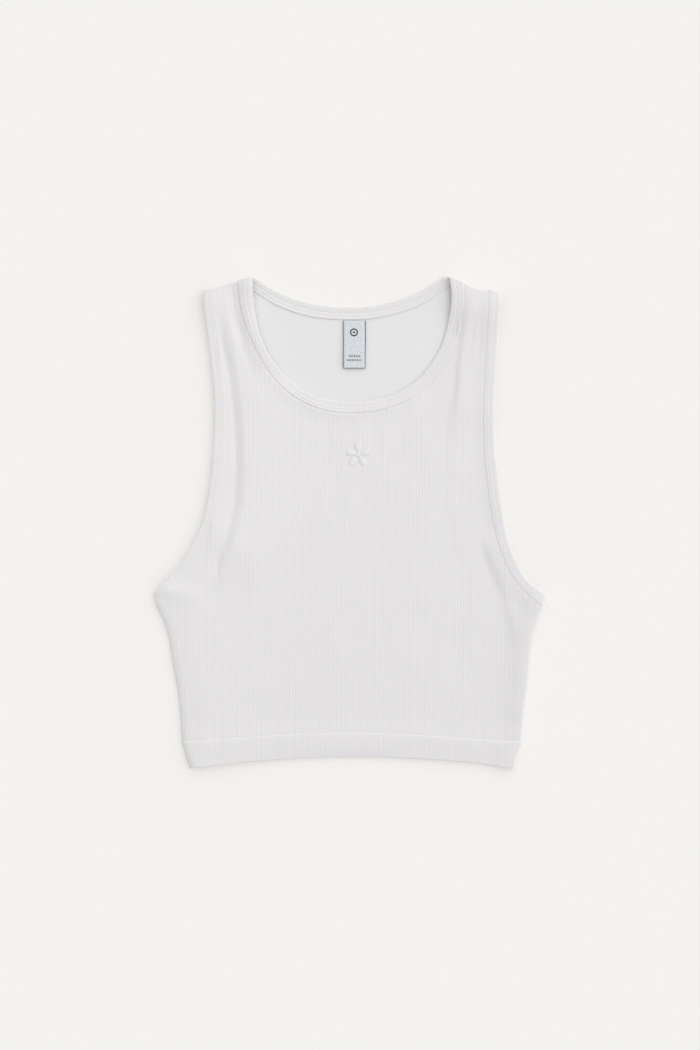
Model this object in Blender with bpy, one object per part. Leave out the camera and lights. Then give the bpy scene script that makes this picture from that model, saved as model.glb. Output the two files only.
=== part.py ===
"""Cropped rib-knit tank top, laid flat on its back.

Lengths are in millimetres until the meshes are made, which are in metres. +Y runs to the neck,
+X to the right as seen from above, and +Z up. The origin is under the middle of the garment.
The cloth is a flattened tube: the back lies on the surface, the front lies on the back, and both
roll up into the fold at the sides and over the shoulders, where their edges meet at the seam.
"""

import bmesh
import bpy
import numpy as np
from mathutils import Vector
from mathutils.geometry import delaunay_2d_cdt

MM = 0.001
TINY = 1e-9
LEFT, RIGHT = 1, 2          # columns of the two sides in SIDE_ROWS

# Cloth
WALL = 1.2                  # rib knit, one layer
HEM_EXTRA = 0.8             # what the turned-up hem adds to a panel
BINDING_WALL = 1.6          # folded strip
BINDING_LIFT = 0.35         # the strip lies a little over the panel's level
LABEL_WALL = 1.0
GAP = 0.3                   # between pieces at a seam and between layers
RIB_PITCH = 2.53
RIB_HEIGHT = 0.45
STITCH_DEPTH = 0.5          # groove that the hem's stitching pulls in
STITCH_REACH = 1.5          # half of that groove's width
PLAIN_RIM = 0.9             # ribs stop this far inside a panel's edge

# Folded edges: outer radius of the roll, and how far in the loft beside it goes
SIDE_ROLL = 2.4
LEFT_REACH = 60.0
RIGHT_REACH = 15.0
SHOULDER_ROLL = 3.0
SHOULDER_REACH = 26.0
FOLD_END = 26.0             # length over which a fold comes up at either end
FOLD_END_SHARE = 0.4        # and the most of its own length that this may take
LOFT_SOFT = 0.05            # rounds the foot of a loft

# Side folds: height y, left x, right x, from the hem's corner to the underarm tip
SIDE_ROWS = (
    (-225.8, -147.1, 150.9),
    (-218.9, -149.5, 152.5),
    (-209.7, -152.3, 155.8),
    (-204.6, -153.8, 157.7),
    (-199.0, -154.3, 158.2),
    (-182.0, -155.2, 159.4),
    (-154.5, -158.0, 163.2),
    (-127.0, -163.0, 166.0),
    (-108.5, -165.8, 168.2),
    (-90.0, -171.2, 172.9),
    (-76.5, -178.0, 178.2),
    (-66.5, -180.6, 180.6),
)
# Height on the side fold where the armhole seam ends, below the tip
SEAM_END_Y = -79.0

# Armholes: height y, left free edge, left seam, right free edge, right seam
ARMHOLE_ROWS = (
    (-53.3, -169.8, -154.5, 163.0, 151.5),
    (-35.0, -152.8, -141.4, 152.0, 141.9),
    (-16.5, -142.6, -132.0, 145.6, 135.4),
    (2.0, -134.8, -124.4, 141.5, 131.0),
    (38.7, -128.0, -117.9, 136.4, 125.6),
    (75.5, -125.1, -115.1, 132.8, 122.6),
    (112.3, -124.4, -114.5, 132.9, 122.5),
    (158.3, -129.0, -118.9, 135.2, 125.2),
    (186.0, -132.4, -122.2, 136.9, 126.5),
    (204.3, -134.5, -124.4, 138.3, 127.6),
)

# Shoulder folds, from the armhole's free edge to the neck's
SHOULDER_LEFT = (
    (-133.6, 213.4), (-124.0, 215.6), (-114.8, 218.2), (-105.6, 220.6),
    (-101.0, 222.6), (-96.4, 224.6), (-91.8, 225.8), (-88.8, 225.0),
)
SHOULDER_RIGHT = (
    (137.6, 210.9), (128.6, 213.9), (119.8, 213.4), (110.6, 217.0),
    (104.0, 220.7), (101.0, 222.3), (96.8, 224.1), (91.3, 225.2),
)

# Front neck, left to right: the seam of the binding, then its free edge
FRONT_NECK_SEAM = (
    (-103.3, 221.6), (-102.8, 213.0), (-101.2, 198.8), (-97.3, 185.0), (-91.8, 171.2),
    (-82.5, 151.3), (-71.9, 134.8), (-61.1, 123.0), (-50.4, 114.6), (-38.5, 107.9),
    (-23.0, 102.6), (-8.3, 100.3), (6.0, 100.0), (22.7, 101.6), (38.5, 105.4),
    (54.5, 112.0), (68.0, 121.2), (79.6, 132.8), (89.3, 147.0), (96.2, 160.0),
    (100.8, 173.0), (103.6, 187.0), (104.8, 201.5), (104.4, 220.5),
)
FRONT_NECK_EDGE = (
    (-88.8, 225.0), (-89.3, 213.5), (-88.3, 202.0), (-86.2, 188.2), (-82.4, 172.2),
    (-75.9, 156.6), (-66.6, 142.6), (-54.8, 130.4), (-39.0, 119.7), (-19.6, 112.8),
    (0.2, 111.0), (24.0, 113.0), (44.0, 119.0), (58.5, 128.2), (69.3, 138.6),
    (77.6, 150.0), (83.4, 160.4), (87.8, 172.4), (90.8, 185.4), (92.9, 198.0),
    (93.4, 210.0), (91.3, 225.2),
)
# Back neck, left to right: the seam of the binding, then its free edge
BACK_NECK_SEAM = (
    (-103.3, 221.6), (-95.5, 216.4), (-87.2, 211.0), (-73.4, 202.2), (-55.0, 193.9),
    (-36.6, 188.6), (-18.2, 186.3), (0.2, 185.6), (18.6, 186.4), (37.0, 189.8),
    (55.4, 195.3), (73.8, 204.0), (84.0, 211.6), (94.0, 217.2), (104.4, 220.5),
)
BACK_NECK_EDGE = (
    (-88.8, 225.0), (-82.6, 221.4), (-73.4, 215.2), (-55.0, 206.4), (-36.6, 200.9),
    (-18.2, 197.8), (0.2, 197.0), (18.6, 198.0), (37.0, 201.7), (55.4, 207.9),
    (73.8, 217.0), (82.0, 222.6), (87.0, 225.4), (91.3, 225.2),
)

# Hem, left to right: the lower edge, then the line of the hem stitching
HEM_EDGE = (
    (-147.1, -225.8), (-142.0, -225.9), (-128.6, -224.5), (-110.2, -222.2), (-82.6, -219.5),
    (-55.0, -217.8), (-27.4, -216.4), (0.2, -215.9), (27.8, -216.1), (55.4, -217.2),
    (83.0, -218.8), (110.6, -221.1), (129.0, -223.3), (142.8, -225.8), (150.9, -225.8),
)
HEM_STITCH = (
    (-160.0, -202.0), (-140.0, -200.6), (-97.8, -197.4), (-59.8, -195.2), (-28.3, -193.8),
    (0.0, -193.3), (27.8, -193.9), (56.0, -195.0), (89.5, -197.0), (117.1, -199.0),
    (137.3, -200.4), (162.0, -202.0),
)

# Large folds of the front. Columns: name, height, half-width on the left hand and on the
# right hand of its line, and the line, from its top down or from its left end
FOLDS = (
    ("left armhole ridge", 1.0, 18.0, 30.0,
     ((-130.0, 226.0), (-127.0, 208.0), (-124.0, 170.0), (-119.0, 120.0), (-119.0, 70.0),
      (-125.0, 10.0), (-138.0, -20.0), (-156.0, -48.0))),
    ("left neck ridge", 2.4, 14.0, 8.5,
     ((-95.0, 240.0), (-94.0, 222.0), (-93.0, 200.0), (-88.0, 178.0), (-76.0, 152.0), (-60.0, 132.0))),
    ("left strap fold", 2.3, 42.0, 6.5,
     ((-113.0, 204.0), (-107.5, 172.0), (-101.0, 135.0), (-97.0, 103.0), (-95.0, 66.0),
      (-95.0, 38.0), (-97.5, 11.0), (-104.0, -16.0), (-112.0, -36.0), (-119.0, -66.0))),
    ("right armhole ridge", 1.3, 30.0, 8.0,
     ((133.0, 226.0), (131.0, 208.0), (130.0, 160.0), (129.0, 100.0), (130.0, 50.0), (138.0, 0.0),
      (150.0, -34.0))),
    ("right neck ridge", 2.4, 36.0, 11.0,
     ((98.0, 240.0), (97.0, 224.0), (98.0, 208.0), (96.0, 192.0), (91.0, 172.0))),
    ("right strap fold", 2.1, 34.0, 6.8,
     ((116.0, 226.0), (113.0, 208.0), (109.5, 186.0), (106.0, 163.0), (103.5, 135.0),
      (101.0, 103.0), (98.0, 76.0))),
    ("right pit fold", 1.9, 20.0, 6.8,
     ((124.0, -6.0), (131.0, -27.0), (139.0, -49.0), (147.0, -71.0), (152.5, -95.0), (154.0, -120.0))),
    ("right pit ridge", 2.0, 14.0, 14.0,
     ((138.0, -6.0), (149.0, -28.0), (160.0, -52.0), (172.0, -72.0), (180.0, -100.0))),
    ("right side ridge", 1.5, 30.0, 16.0,
     ((184.0, -50.0), (177.0, -76.0), (168.0, -108.0), (163.0, -154.0), (158.0, -196.0))),
    ("left pit ridge", 1.3, 7.5, 5.0,
     ((-190.0, -60.0), (-172.0, -63.0), (-158.0, -66.0), (-145.0, -69.0), (-128.0, -74.0))),
)

# Wales drift outward in the straps: how far at the top, from which x and y
STRAP_DRIFT = 14.0
DRIFT_FROM_X = (70.0, 110.0)
DRIFT_FROM_Y = (100.0, 225.0)

# Neck label
LABEL_X = (-7.6, 14.6)
LABEL_DROP = 44.5
LABEL_CURL = 0.7            # its lower end stands this far off the back
LABEL_CLEAR = 0.2           # between its top and the seam, besides the gap
LABEL_COLUMNS, LABEL_RINGS = 4, 7

# Across a binding: share of the width from the seam, height over or under the wall
BINDING_TOP = ((0.0, -0.3), (0.12, 0.0), (0.86, 0.0), (1.0, -0.45))
BINDING_BOTTOM = (1.0, 0.0)
LEAST_SLANT = 0.3           # sine of the least angle between a seam and the way across a binding

# Mesh
CURVE_STEPS = 12            # steps between two points of a smooth curve
FINE_STEP = 1.0             # along a seam or a free edge before stations are read from it
FOLD_STEP = 5.0             # along a large fold
STITCH_STEP = 3.0           # along the hem's stitching
EDGE_STEP = 4.5             # along a panel's edge
STATION_STEP = 6.0          # along a binding and the seam beside it
BODY_ROWS = (-150, -126, -104, -84, -66, -48, -30, -12, 10, 34, 58, 80, 102, 124, 148, 172, 196)
FRONT_INSIDE_EVERY = 6      # the front's plain inside has points on every sixth rib line
BACK_EVERY = 12
ROLL_STEPS = (0.12, 0.45, 1.0)
LEAST_STEP = 0.2            # points of an outline closer than this are one point
CORNER_CLEAR = 1.0          # points of an outline stay this far from its corners
RIB_LINE_Y = (-230.0, 230.0)
RIB_LINE_STEP = 0.5
LEAST_RUN = 4               # steps of the shortest stretch of a rib that gets points
ROW_CLEAR = 2.0             # rows stay this far from a stretch's ends
START_CLEAR, END_CLEAR = 0.8, 0.5       # and the points of a roll this far
DRIFT_ROUNDS = 6            # rounds that undo the drift of the wales
DRIFT_MOST = 1.2            # share of its height at which the drift stops growing
DRIFT_POWER = 1.5
MERGE = 1e-4                # points of a triangulation closer than this are one point
SHARP_ANGLE = 0.9           # edges bent more than this, in radians, are shaded sharp

# Colours, linear
COLOURS = {
    "front_panel": (0.79, 0.775, 0.785),
    "back_panel": (0.80, 0.79, 0.79),
    "neck_binding": (0.80, 0.785, 0.795),
    "armhole_binding_left": (0.79, 0.775, 0.785),
    "armhole_binding_right": (0.79, 0.775, 0.785),
    "neck_label": (0.68, 0.715, 0.755),
}
CLOTH_ROUGHNESS = 0.9


# Curves in plan

def smooth_curve(points, step):
    """Catmull-Rom curve through the points, read at even steps along its length."""
    pts = np.array(points, float)
    ends = np.vstack([2 * pts[0] - pts[1], pts, 2 * pts[-1] - pts[-2]])
    fine = []
    for k in range(len(pts) - 1):
        a, b, c, d = ends[k:k + 4]
        roots = [np.linalg.norm(q - p) ** 0.5 for p, q in ((a, b), (b, c), (c, d))]
        knots = np.cumsum([0.0] + roots)
        t = np.linspace(knots[1], knots[2], CURVE_STEPS, endpoint=False)[:, None]
        ab = ((knots[1] - t) * a + (t - knots[0]) * b) / (knots[1] - knots[0])
        bc = ((knots[2] - t) * b + (t - knots[1]) * c) / (knots[2] - knots[1])
        cd = ((knots[3] - t) * c + (t - knots[2]) * d) / (knots[3] - knots[2])
        left = ((knots[2] - t) * ab + (t - knots[0]) * bc) / (knots[2] - knots[0])
        right = ((knots[3] - t) * bc + (t - knots[1]) * cd) / (knots[3] - knots[1])
        fine.append(((knots[2] - t) * left + (t - knots[1]) * right) / (knots[2] - knots[1]))
    fine.append(pts[-1:])
    fine = np.vstack(fine)
    count = max(2, int(round(length_of(fine) / step)) + 1)
    return read_curve(fine, np.linspace(0.0, 1.0, count))


def length_of(line):
    return float(np.linalg.norm(np.diff(line, axis=0), axis=1).sum())


def read_curve(line, shares):
    """Points at the given shares of a line's length."""
    along = np.concatenate([[0.0], np.cumsum(np.linalg.norm(np.diff(line, axis=0), axis=1))])
    at = np.asarray(shares) * along[-1]
    return np.column_stack([np.interp(at, along, line[:, 0]), np.interp(at, along, line[:, 1])])


def nearest_on(line, xy):
    """Distance of each point from a line, the nearest segment, and the share along that."""
    start, step = line[:-1], np.diff(line, axis=0)
    rel = xy[:, None, :] - start[None]
    share = np.clip((rel * step).sum(2) / (step ** 2).sum(1), 0.0, 1.0)
    away = np.linalg.norm(rel - share[:, :, None] * step[None], axis=2)
    index = away.argmin(1)
    rows = np.arange(len(xy))
    return away[rows, index], index, share[rows, index]


def inward_normals(line):
    """Unit normal of each segment, on the side of the garment's middle."""
    step = np.diff(line, axis=0)
    normal = np.column_stack([-step[:, 1], step[:, 0]])
    normal /= np.linalg.norm(normal, axis=1)[:, None]
    middle = (line[:-1] + line[1:]) / 2
    normal[(normal * middle).sum(1) > 0] *= -1
    return normal


def inside(loop, xy):
    """True for the points inside a closed loop."""
    a, b = loop, np.roll(loop, -1, axis=0)
    x, y = xy[:, :1], xy[:, 1:]
    spans = (a[:, 1] > y) != (b[:, 1] > y)
    rise = np.where(b[:, 1] == a[:, 1], TINY, b[:, 1] - a[:, 1])
    cross = (b[:, 0] - a[:, 0]) * (y - a[:, 1]) / rise + a[:, 0]
    return ((spans & (x < cross)).sum(1) % 2) == 1


def ramp(value, start, end):
    """Smooth step from 0 at start to 1 at end."""
    t = np.clip((value - start) / (end - start), 0.0, 1.0)
    return t * t * (3 - 2 * t)


def side_fold(side):
    """Side fold from the hem's corner to the underarm tip."""
    return smooth_curve([(row[side], row[0]) for row in SIDE_ROWS], EDGE_STEP)


def seam_end(side):
    """Point on the side fold where the armhole seam ends."""
    fold = side_fold(side)
    return (float(np.interp(SEAM_END_Y, fold[:, 1], fold[:, 0])), SEAM_END_Y)


def on_shoulder(shoulder, x):
    """Point on a shoulder fold at the given x."""
    line = np.array(sorted(shoulder))
    return (x, float(np.interp(x, line[:, 0], line[:, 1])))


def armhole_curves(side):
    """Seam and free edge of an armhole, from the underarm up to the shoulder."""
    edge_column, seam_column = (1, 2) if side == LEFT else (3, 4)
    shoulder = SHOULDER_LEFT if side == LEFT else SHOULDER_RIGHT
    tip = (SIDE_ROWS[-1][side], SIDE_ROWS[-1][0])
    edge = [tip] + [(row[edge_column], row[0]) for row in ARMHOLE_ROWS] + [shoulder[0]]
    seam_top = on_shoulder(shoulder, ARMHOLE_ROWS[-1][seam_column])
    seam = [seam_end(side)] + [(row[seam_column], row[0]) for row in ARMHOLE_ROWS] + [seam_top]
    return smooth_curve(seam, FINE_STEP), smooth_curve(edge, FINE_STEP)


FRONT_NECK = tuple(smooth_curve(line, FINE_STEP) for line in (FRONT_NECK_SEAM, FRONT_NECK_EDGE))
BACK_NECK = tuple(smooth_curve(line, FINE_STEP) for line in (BACK_NECK_SEAM, BACK_NECK_EDGE))
SIDES = {side: side_fold(side) for side in (LEFT, RIGHT)}
FOLD_LINES = (
    (SIDES[LEFT], SIDE_ROLL, LEFT_REACH),
    (SIDES[RIGHT], SIDE_ROLL, RIGHT_REACH),
    (np.array(SHOULDER_LEFT), SHOULDER_ROLL, SHOULDER_REACH),
    (np.array(SHOULDER_RIGHT), SHOULDER_ROLL, SHOULDER_REACH),
)
FOLD_CURVES = [(*sizes, smooth_curve(line, FOLD_STEP)) for _, *sizes, line in FOLDS]
STITCH_LINE = smooth_curve(HEM_STITCH, STITCH_STEP)
HEM_LINE = smooth_curve(HEM_EDGE, EDGE_STEP)


# Heights of the cloth

def fold_place(xy):
    """Nearest folded edge of each point: distance, inward normal, roll radius and reach."""
    found = [nearest_on(line, xy) for line, _, _ in FOLD_LINES]
    best = np.argmin([hit[0] for hit in found], axis=0)
    away = np.min([hit[0] for hit in found], axis=0)
    normal = np.zeros_like(xy)
    for k, (line, _, _) in enumerate(FOLD_LINES):
        mine = best == k
        normal[mine] = inward_normals(line)[found[k][1][mine]]
    radius = np.array([entry[1] for entry in FOLD_LINES])[best]
    reach = np.array([entry[2] for entry in FOLD_LINES])[best]
    return away, normal, radius, reach


def in_hem(xy):
    """1 in the doubled hem, 0 above its stitching."""
    stitch = np.interp(xy[:, 0], STITCH_LINE[:, 0], STITCH_LINE[:, 1])
    return ramp(xy[:, 1] - stitch, STITCH_REACH, -STITCH_REACH)


def stitch_groove(xy):
    stitch = np.interp(xy[:, 0], STITCH_LINE[:, 0], STITCH_LINE[:, 1])
    return STITCH_DEPTH * np.clip(1 - np.abs(xy[:, 1] - stitch) / STITCH_REACH, 0.0, 1.0)


def fold_heights(xy):
    """Sum of folds that rise to their lines, each with a half-width of its own on either hand."""
    total = np.zeros(len(xy))
    for height, left, right, line in FOLD_CURVES:
        away, index, share = nearest_on(line, xy)
        ahead, aside = line[index + 1] - line[index], xy - line[index]
        left_hand = ahead[:, 0] * aside[:, 1] > ahead[:, 1] * aside[:, 0]
        length = length_of(line)
        along = (index + share) / (len(line) - 1) * length
        end = min(max(FOLD_END, left, right), FOLD_END_SHARE * length)
        taper = ramp(along, 0.0, end) * ramp(length - along, 0.0, end)
        total += height * taper * np.exp(-(away / np.where(left_hand, left, right)) ** 2)
    return total


def loft(xy, away, radius, reach):
    """How far the front's inside stands off the back, beyond the gap between the layers."""
    rolled = 2 * radius - 2 * WALL - GAP
    value = rolled * np.exp(-(np.maximum(away - radius, 0.0) / reach) ** 2) + fold_heights(xy)
    return 0.5 * (value + np.sqrt(value ** 2 + LOFT_SOFT))


def rolled_sheet(low, high, away, radius, seam):
    """Turn two heights over the plan into two walls that roll into the folded edge."""
    short = np.clip(1 - away / radius, 0.0, 1.0)
    rise = np.sqrt(1 - short ** 2)
    level = radius + seam
    return short, level + (low - level) * rise, level + (high - level) * rise


def front_walls(xy, wall, lift=0.0, seam=GAP / 2):
    """Outer and inner points of a piece on the front."""
    away, normal, radius, reach = fold_place(xy)
    hem = in_hem(xy) * HEM_EXTRA
    low = WALL + hem + GAP + loft(xy, away, radius, reach) + lift
    high = low + wall + hem - stitch_groove(xy)
    short, low, high = rolled_sheet(low, high, away, radius, seam)
    outer = np.column_stack([xy, high])
    inner = np.column_stack([xy + normal * (wall * short)[:, None], low])
    return outer, inner


def back_walls(xy, wall, seam=-GAP / 2):
    """Outer, lower points and inner, upper points of a piece on the back."""
    away, normal, radius, _ = fold_place(xy)
    high = wall + in_hem(xy) * HEM_EXTRA
    short, low, high = rolled_sheet(0.0, high, away, radius, seam)
    outer = np.column_stack([xy, low])
    inner = np.column_stack([xy + normal * (wall * short)[:, None], high])
    return outer, inner


def drift(x, y):
    """Sideways drift of a wale in the straps."""
    across = ramp(np.abs(x), *DRIFT_FROM_X)
    up = np.clip((y - DRIFT_FROM_Y[0]) / (DRIFT_FROM_Y[1] - DRIFT_FROM_Y[0]), 0.0, DRIFT_MOST)
    return np.sign(x) * STRAP_DRIFT * across * up ** DRIFT_POWER


# Outlines of the two panels

def station_shares(length):
    """Shares of a binding's length: closer where it rolls over its two folds."""
    near = [step * SHOULDER_ROLL / length for step in (0.0,) + ROLL_STEPS]
    count = int(round(length * (1 - 2 * near[-1]) / STATION_STEP))
    even = np.linspace(near[-1], 1 - near[-1], count + 1)[1:-1]
    return np.concatenate([near, even, [1 - share for share in reversed(near)]])


def stations(seam, edge):
    """Matching points along the seam and the free edge of a binding."""
    shares = station_shares(length_of(edge))
    return read_curve(seam, shares), read_curve(edge, shares)


def panel_outline(neck_curves):
    """Closed loop round a panel, counter-clockwise from the hem's left corner."""
    left_seam, _ = stations(*armhole_curves(LEFT))
    right_seam, _ = stations(*armhole_curves(RIGHT))
    neck, _ = stations(*neck_curves)
    loop = np.vstack([
        HEM_LINE,
        up_to_seam(SIDES[RIGHT], RIGHT),
        right_seam,
        shoulder_between(SHOULDER_RIGHT, neck[-1][0], right_seam[-1][0])[::-1],
        neck[::-1],
        shoulder_between(SHOULDER_LEFT, left_seam[-1][0], neck[0][0])[::-1],
        left_seam[::-1],
        up_to_seam(SIDES[LEFT], LEFT)[::-1],
    ])
    apart = np.linalg.norm(loop - np.roll(loop, 1, axis=0), axis=1) > LEAST_STEP
    return loop[apart]


def up_to_seam(fold, side):
    """The part of a side fold below the armhole seam."""
    low = fold[fold[:, 1] < SEAM_END_Y - CORNER_CLEAR]
    return np.vstack([low, [seam_end(side)]])


def shoulder_between(shoulder, x_low, x_high):
    """Shoulder fold between two x, left to right."""
    ends = [on_shoulder(shoulder, x_low), on_shoulder(shoulder, x_high)]
    between = [p for p in shoulder if x_low + CORNER_CLEAR < p[0] < x_high - CORNER_CLEAR]
    return smooth_curve(sorted(ends + between), EDGE_STEP)


# Points inside a panel

def rib_line(index):
    """Finely read line of one ridge or groove, from below the hem to above the shoulder."""
    y = np.arange(*RIB_LINE_Y, RIB_LINE_STEP)
    x = np.full_like(y, index * RIB_PITCH / 2)
    return np.column_stack([x + drift(x, y), y])


def rows_at(x):
    """Heights at which a rib line has a point."""
    stitch = float(np.interp(x, STITCH_LINE[:, 0], STITCH_LINE[:, 1]))
    return sorted([stitch - STITCH_REACH, stitch, stitch + STITCH_REACH] + list(BODY_ROWS))


def rib_runs(loop, index):
    """Stretches of a rib line that lie inside a loop, as short lists of points."""
    line = rib_line(index)
    clear = inside(loop, line) & (nearest_on(np.vstack([loop, loop[:1]]), line)[0] > PLAIN_RIM)
    edges = np.flatnonzero(np.diff(np.concatenate([[0], clear.astype(int), [0]])))
    rows = rows_at(index * RIB_PITCH / 2)
    for first, last in zip(edges[::2], edges[1::2] - 1):
        if last - first < LEAST_RUN:
            continue
        low, high = line[first], line[last]
        ys = [y for y in rows if low[1] + ROW_CLEAR < y < high[1] - ROW_CLEAR]
        ys += roll_rows(high)
        ys = sorted({round(y, 3) for y in ys if low[1] + START_CLEAR < y < high[1] - END_CLEAR})
        middle = [(np.interp(y, line[:, 1], line[:, 0]), y) for y in ys]
        yield [tuple(low)] + middle + [tuple(high)]


def roll_rows(end):
    """Extra points just below a shoulder fold, where the cloth rolls over."""
    away = [nearest_on(line, np.array([end]))[0][0] for line, _, _ in FOLD_LINES[2:]]
    if min(away) > 2 * PLAIN_RIM:
        return []
    return [end[1] + PLAIN_RIM - SHOULDER_ROLL * share for share in ROLL_STEPS[1:]]


def beside_fold(fold, away):
    """Line inside a side fold, where the cloth's underside meets the surface."""
    middle = (fold[:-1] + fold[1:]) / 2 + inward_normals(fold) * away
    low = HEM_EDGE[0][1] + 2 * STITCH_REACH
    return middle[(middle[:, 1] > low) & (middle[:, 1] < SEAM_END_Y)]


def triangulate(loop, runs):
    """Triangles that fill a loop and keep every run as edges; the loop's points come first."""
    points = [Vector(p) for p in loop]
    edges = []
    for run in runs:
        first = len(points)
        points += [Vector(p) for p in run]
        edges += [(first + k, first + k + 1) for k in range(len(run) - 1)]
    result = delaunay_2d_cdt(points, edges, [list(range(len(loop)))], 0, MERGE)
    verts, _, faces, from_verts, _, from_faces = result
    order = {old: new for new, olds in enumerate(from_verts) for old in olds}
    kept = [tuple(face) for face, origin in zip(faces, from_faces) if origin]
    xy = np.array([tuple(v) for v in verts])
    return xy, kept, [order[k] for k in range(len(loop))]


def rib_wave(xy, loop):
    """Height of the ribs: 1 on a ridge, 0 in a groove, dying away at the panel's edge."""
    straight = xy[:, 0].copy()
    for _ in range(DRIFT_ROUNDS):
        straight = xy[:, 0] - drift(straight, xy[:, 1])
    phase = np.mod(straight / RIB_PITCH, 1.0)
    to_edge = nearest_on(np.vstack([loop, loop[:1]]), xy)[0]
    return np.abs(1 - 2 * phase) * np.clip(to_edge / PLAIN_RIM, 0.0, 1.0)


# Solids

def add_object(name, verts, faces, smooth=True):
    """Mesh object in metres with its own material."""
    mesh = bpy.data.meshes.new(name)
    mesh.from_pydata([tuple(v * MM for v in vert) for vert in verts], [], faces)
    mesh.validate()
    work = bmesh.new()
    work.from_mesh(mesh)
    bmesh.ops.recalc_face_normals(work, faces=work.faces)
    work.to_mesh(mesh)
    work.free()
    if smooth:
        mesh.shade_smooth()
        mesh.set_sharp_from_angle(angle=SHARP_ANGLE)
    obj = bpy.data.objects.new(name, mesh)
    bpy.context.scene.collection.objects.link(obj)
    obj.data.materials.append(cloth_material(name))
    return obj


def cloth_material(name):
    material = bpy.data.materials.new(name + "_cloth")
    material.use_nodes = True
    shader = material.node_tree.nodes["Principled BSDF"]
    shader.inputs["Base Color"].default_value = (*COLOURS[name], 1.0)
    shader.inputs["Roughness"].default_value = CLOTH_ROUGHNESS
    shader.inputs["Metallic"].default_value = 0.0
    return material


def closed_panel(name, loop, outer_part, inner_part):
    """Close two triangulated faces of a panel, which share the same loop, into one solid."""
    (outer, outer_faces, outer_loop), (inner, inner_faces, inner_loop) = outer_part, inner_part
    first = len(outer)
    verts = list(outer) + list(inner)
    faces = list(outer_faces)
    faces += [tuple(first + v for v in reversed(face)) for face in inner_faces]
    for k in range(len(loop)):
        after = (k + 1) % len(loop)
        faces.append((first + inner_loop[k], first + inner_loop[after], outer_loop[after]))
        faces.append((first + inner_loop[k], outer_loop[after], outer_loop[k]))
    return add_object(name, verts, faces)


def make_front_panel():
    """Ribbed outer face over a plain inside."""
    loop = panel_outline(FRONT_NECK)
    reach = int(np.ceil(2 * np.abs(loop[:, 0]).max() / RIB_PITCH))
    ribs = {k: list(rib_runs(loop, k)) for k in range(-reach, reach + 1)}
    xy, faces, order = triangulate(loop, [run for runs in ribs.values() for run in runs])
    outer, _ = front_walls(xy, WALL)
    away = fold_place(xy)[0]
    fade = np.clip(away / SIDE_ROLL, 0.0, 1.0)
    outer[:, 2] += RIB_HEIGHT * rib_wave(xy, loop) * fade
    plain = [run for k, runs in ribs.items() if k % FRONT_INSIDE_EVERY == 0 for run in runs]
    plain_xy, plain_faces, plain_order = triangulate(loop, plain)
    _, inner = front_walls(plain_xy, WALL)
    return closed_panel("front_panel", loop, (outer, faces, order), (inner, plain_faces, plain_order))


def make_back_panel():
    """Plain, flat underneath where it rests, rolled up at its sides and shoulders."""
    loop = panel_outline(BACK_NECK)
    reach = int(2 * np.abs(loop[:, 0]).max() / RIB_PITCH) // BACK_EVERY
    runs = [run for k in range(-reach, reach + 1) for run in rib_runs(loop, k * BACK_EVERY)]
    for share in ROLL_STEPS[1:]:
        runs += [beside_fold(SIDES[side], share * SIDE_ROLL) for side in (LEFT, RIGHT)]
    xy, faces, order = triangulate(loop, runs)
    outer, inner = back_walls(xy, WALL)
    return closed_panel("back_panel", loop, (inner, faces, order), (outer, faces, order))


def binding_side(seam, edge, walls, rounded):
    """Rings of a binding on the front or the back: outer points, then inner points."""
    at_seam, at_edge = stations(seam, edge)
    across = at_edge - at_seam
    across /= np.linalg.norm(across, axis=1)[:, None]
    along = np.gradient(at_seam, axis=0)
    along /= np.linalg.norm(along, axis=1)[:, None]
    slant = np.abs(across[:, 0] * along[:, 1] - across[:, 1] * along[:, 0])
    at_seam = at_seam + across * (GAP / np.maximum(slant, LEAST_SLANT))[:, None]
    rings = []
    for share, over in BINDING_TOP:
        outer, _ = walls(at_seam + (at_edge - at_seam) * share)
        if rounded:
            outer[:, 2] += over * np.clip(fold_place(outer[:, :2])[0] / SHOULDER_ROLL, 0.0, 1.0)
        rings.append(outer)
    for share in BINDING_BOTTOM:
        rings.append(walls(at_seam + (at_edge - at_seam) * share)[1])
    return np.stack(rings, axis=1)


def closed_ring(name, front, back):
    """One ring of sections from a front and a back side that meet at both folds."""
    rings = np.concatenate([front, back[-2:0:-1]])
    count, width = rings.shape[:2]
    faces = []
    for k in range(count):
        for j in range(width):
            a, b = k * width + j, k * width + (j + 1) % width
            c, d = ((k + 1) % count) * width + (j + 1) % width, ((k + 1) % count) * width + j
            faces += [(a, b, c), (a, c, d)]
    return add_object(name, rings.reshape(-1, 3), faces)


def front_binding_walls(xy):
    return front_walls(xy, BINDING_WALL, lift=BINDING_LIFT, seam=0.0)


def back_binding_walls(xy):
    return back_walls(xy, BINDING_WALL, seam=0.0)


def make_armhole_binding(name, side):
    """Strip round an armhole: up the front, over the shoulder and down the back."""
    seam, edge = armhole_curves(side)
    front = binding_side(seam, edge, front_binding_walls, rounded=True)
    back = binding_side(seam, edge, back_binding_walls, rounded=False)
    return closed_ring(name, front, back)


def make_neck_binding():
    """Strip round the neck: across the front, over both shoulders and across the back."""
    front = binding_side(*FRONT_NECK, front_binding_walls, rounded=True)
    back = binding_side(*BACK_NECK, back_binding_walls, rounded=False)
    return closed_ring("neck_binding", front, back)


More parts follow.
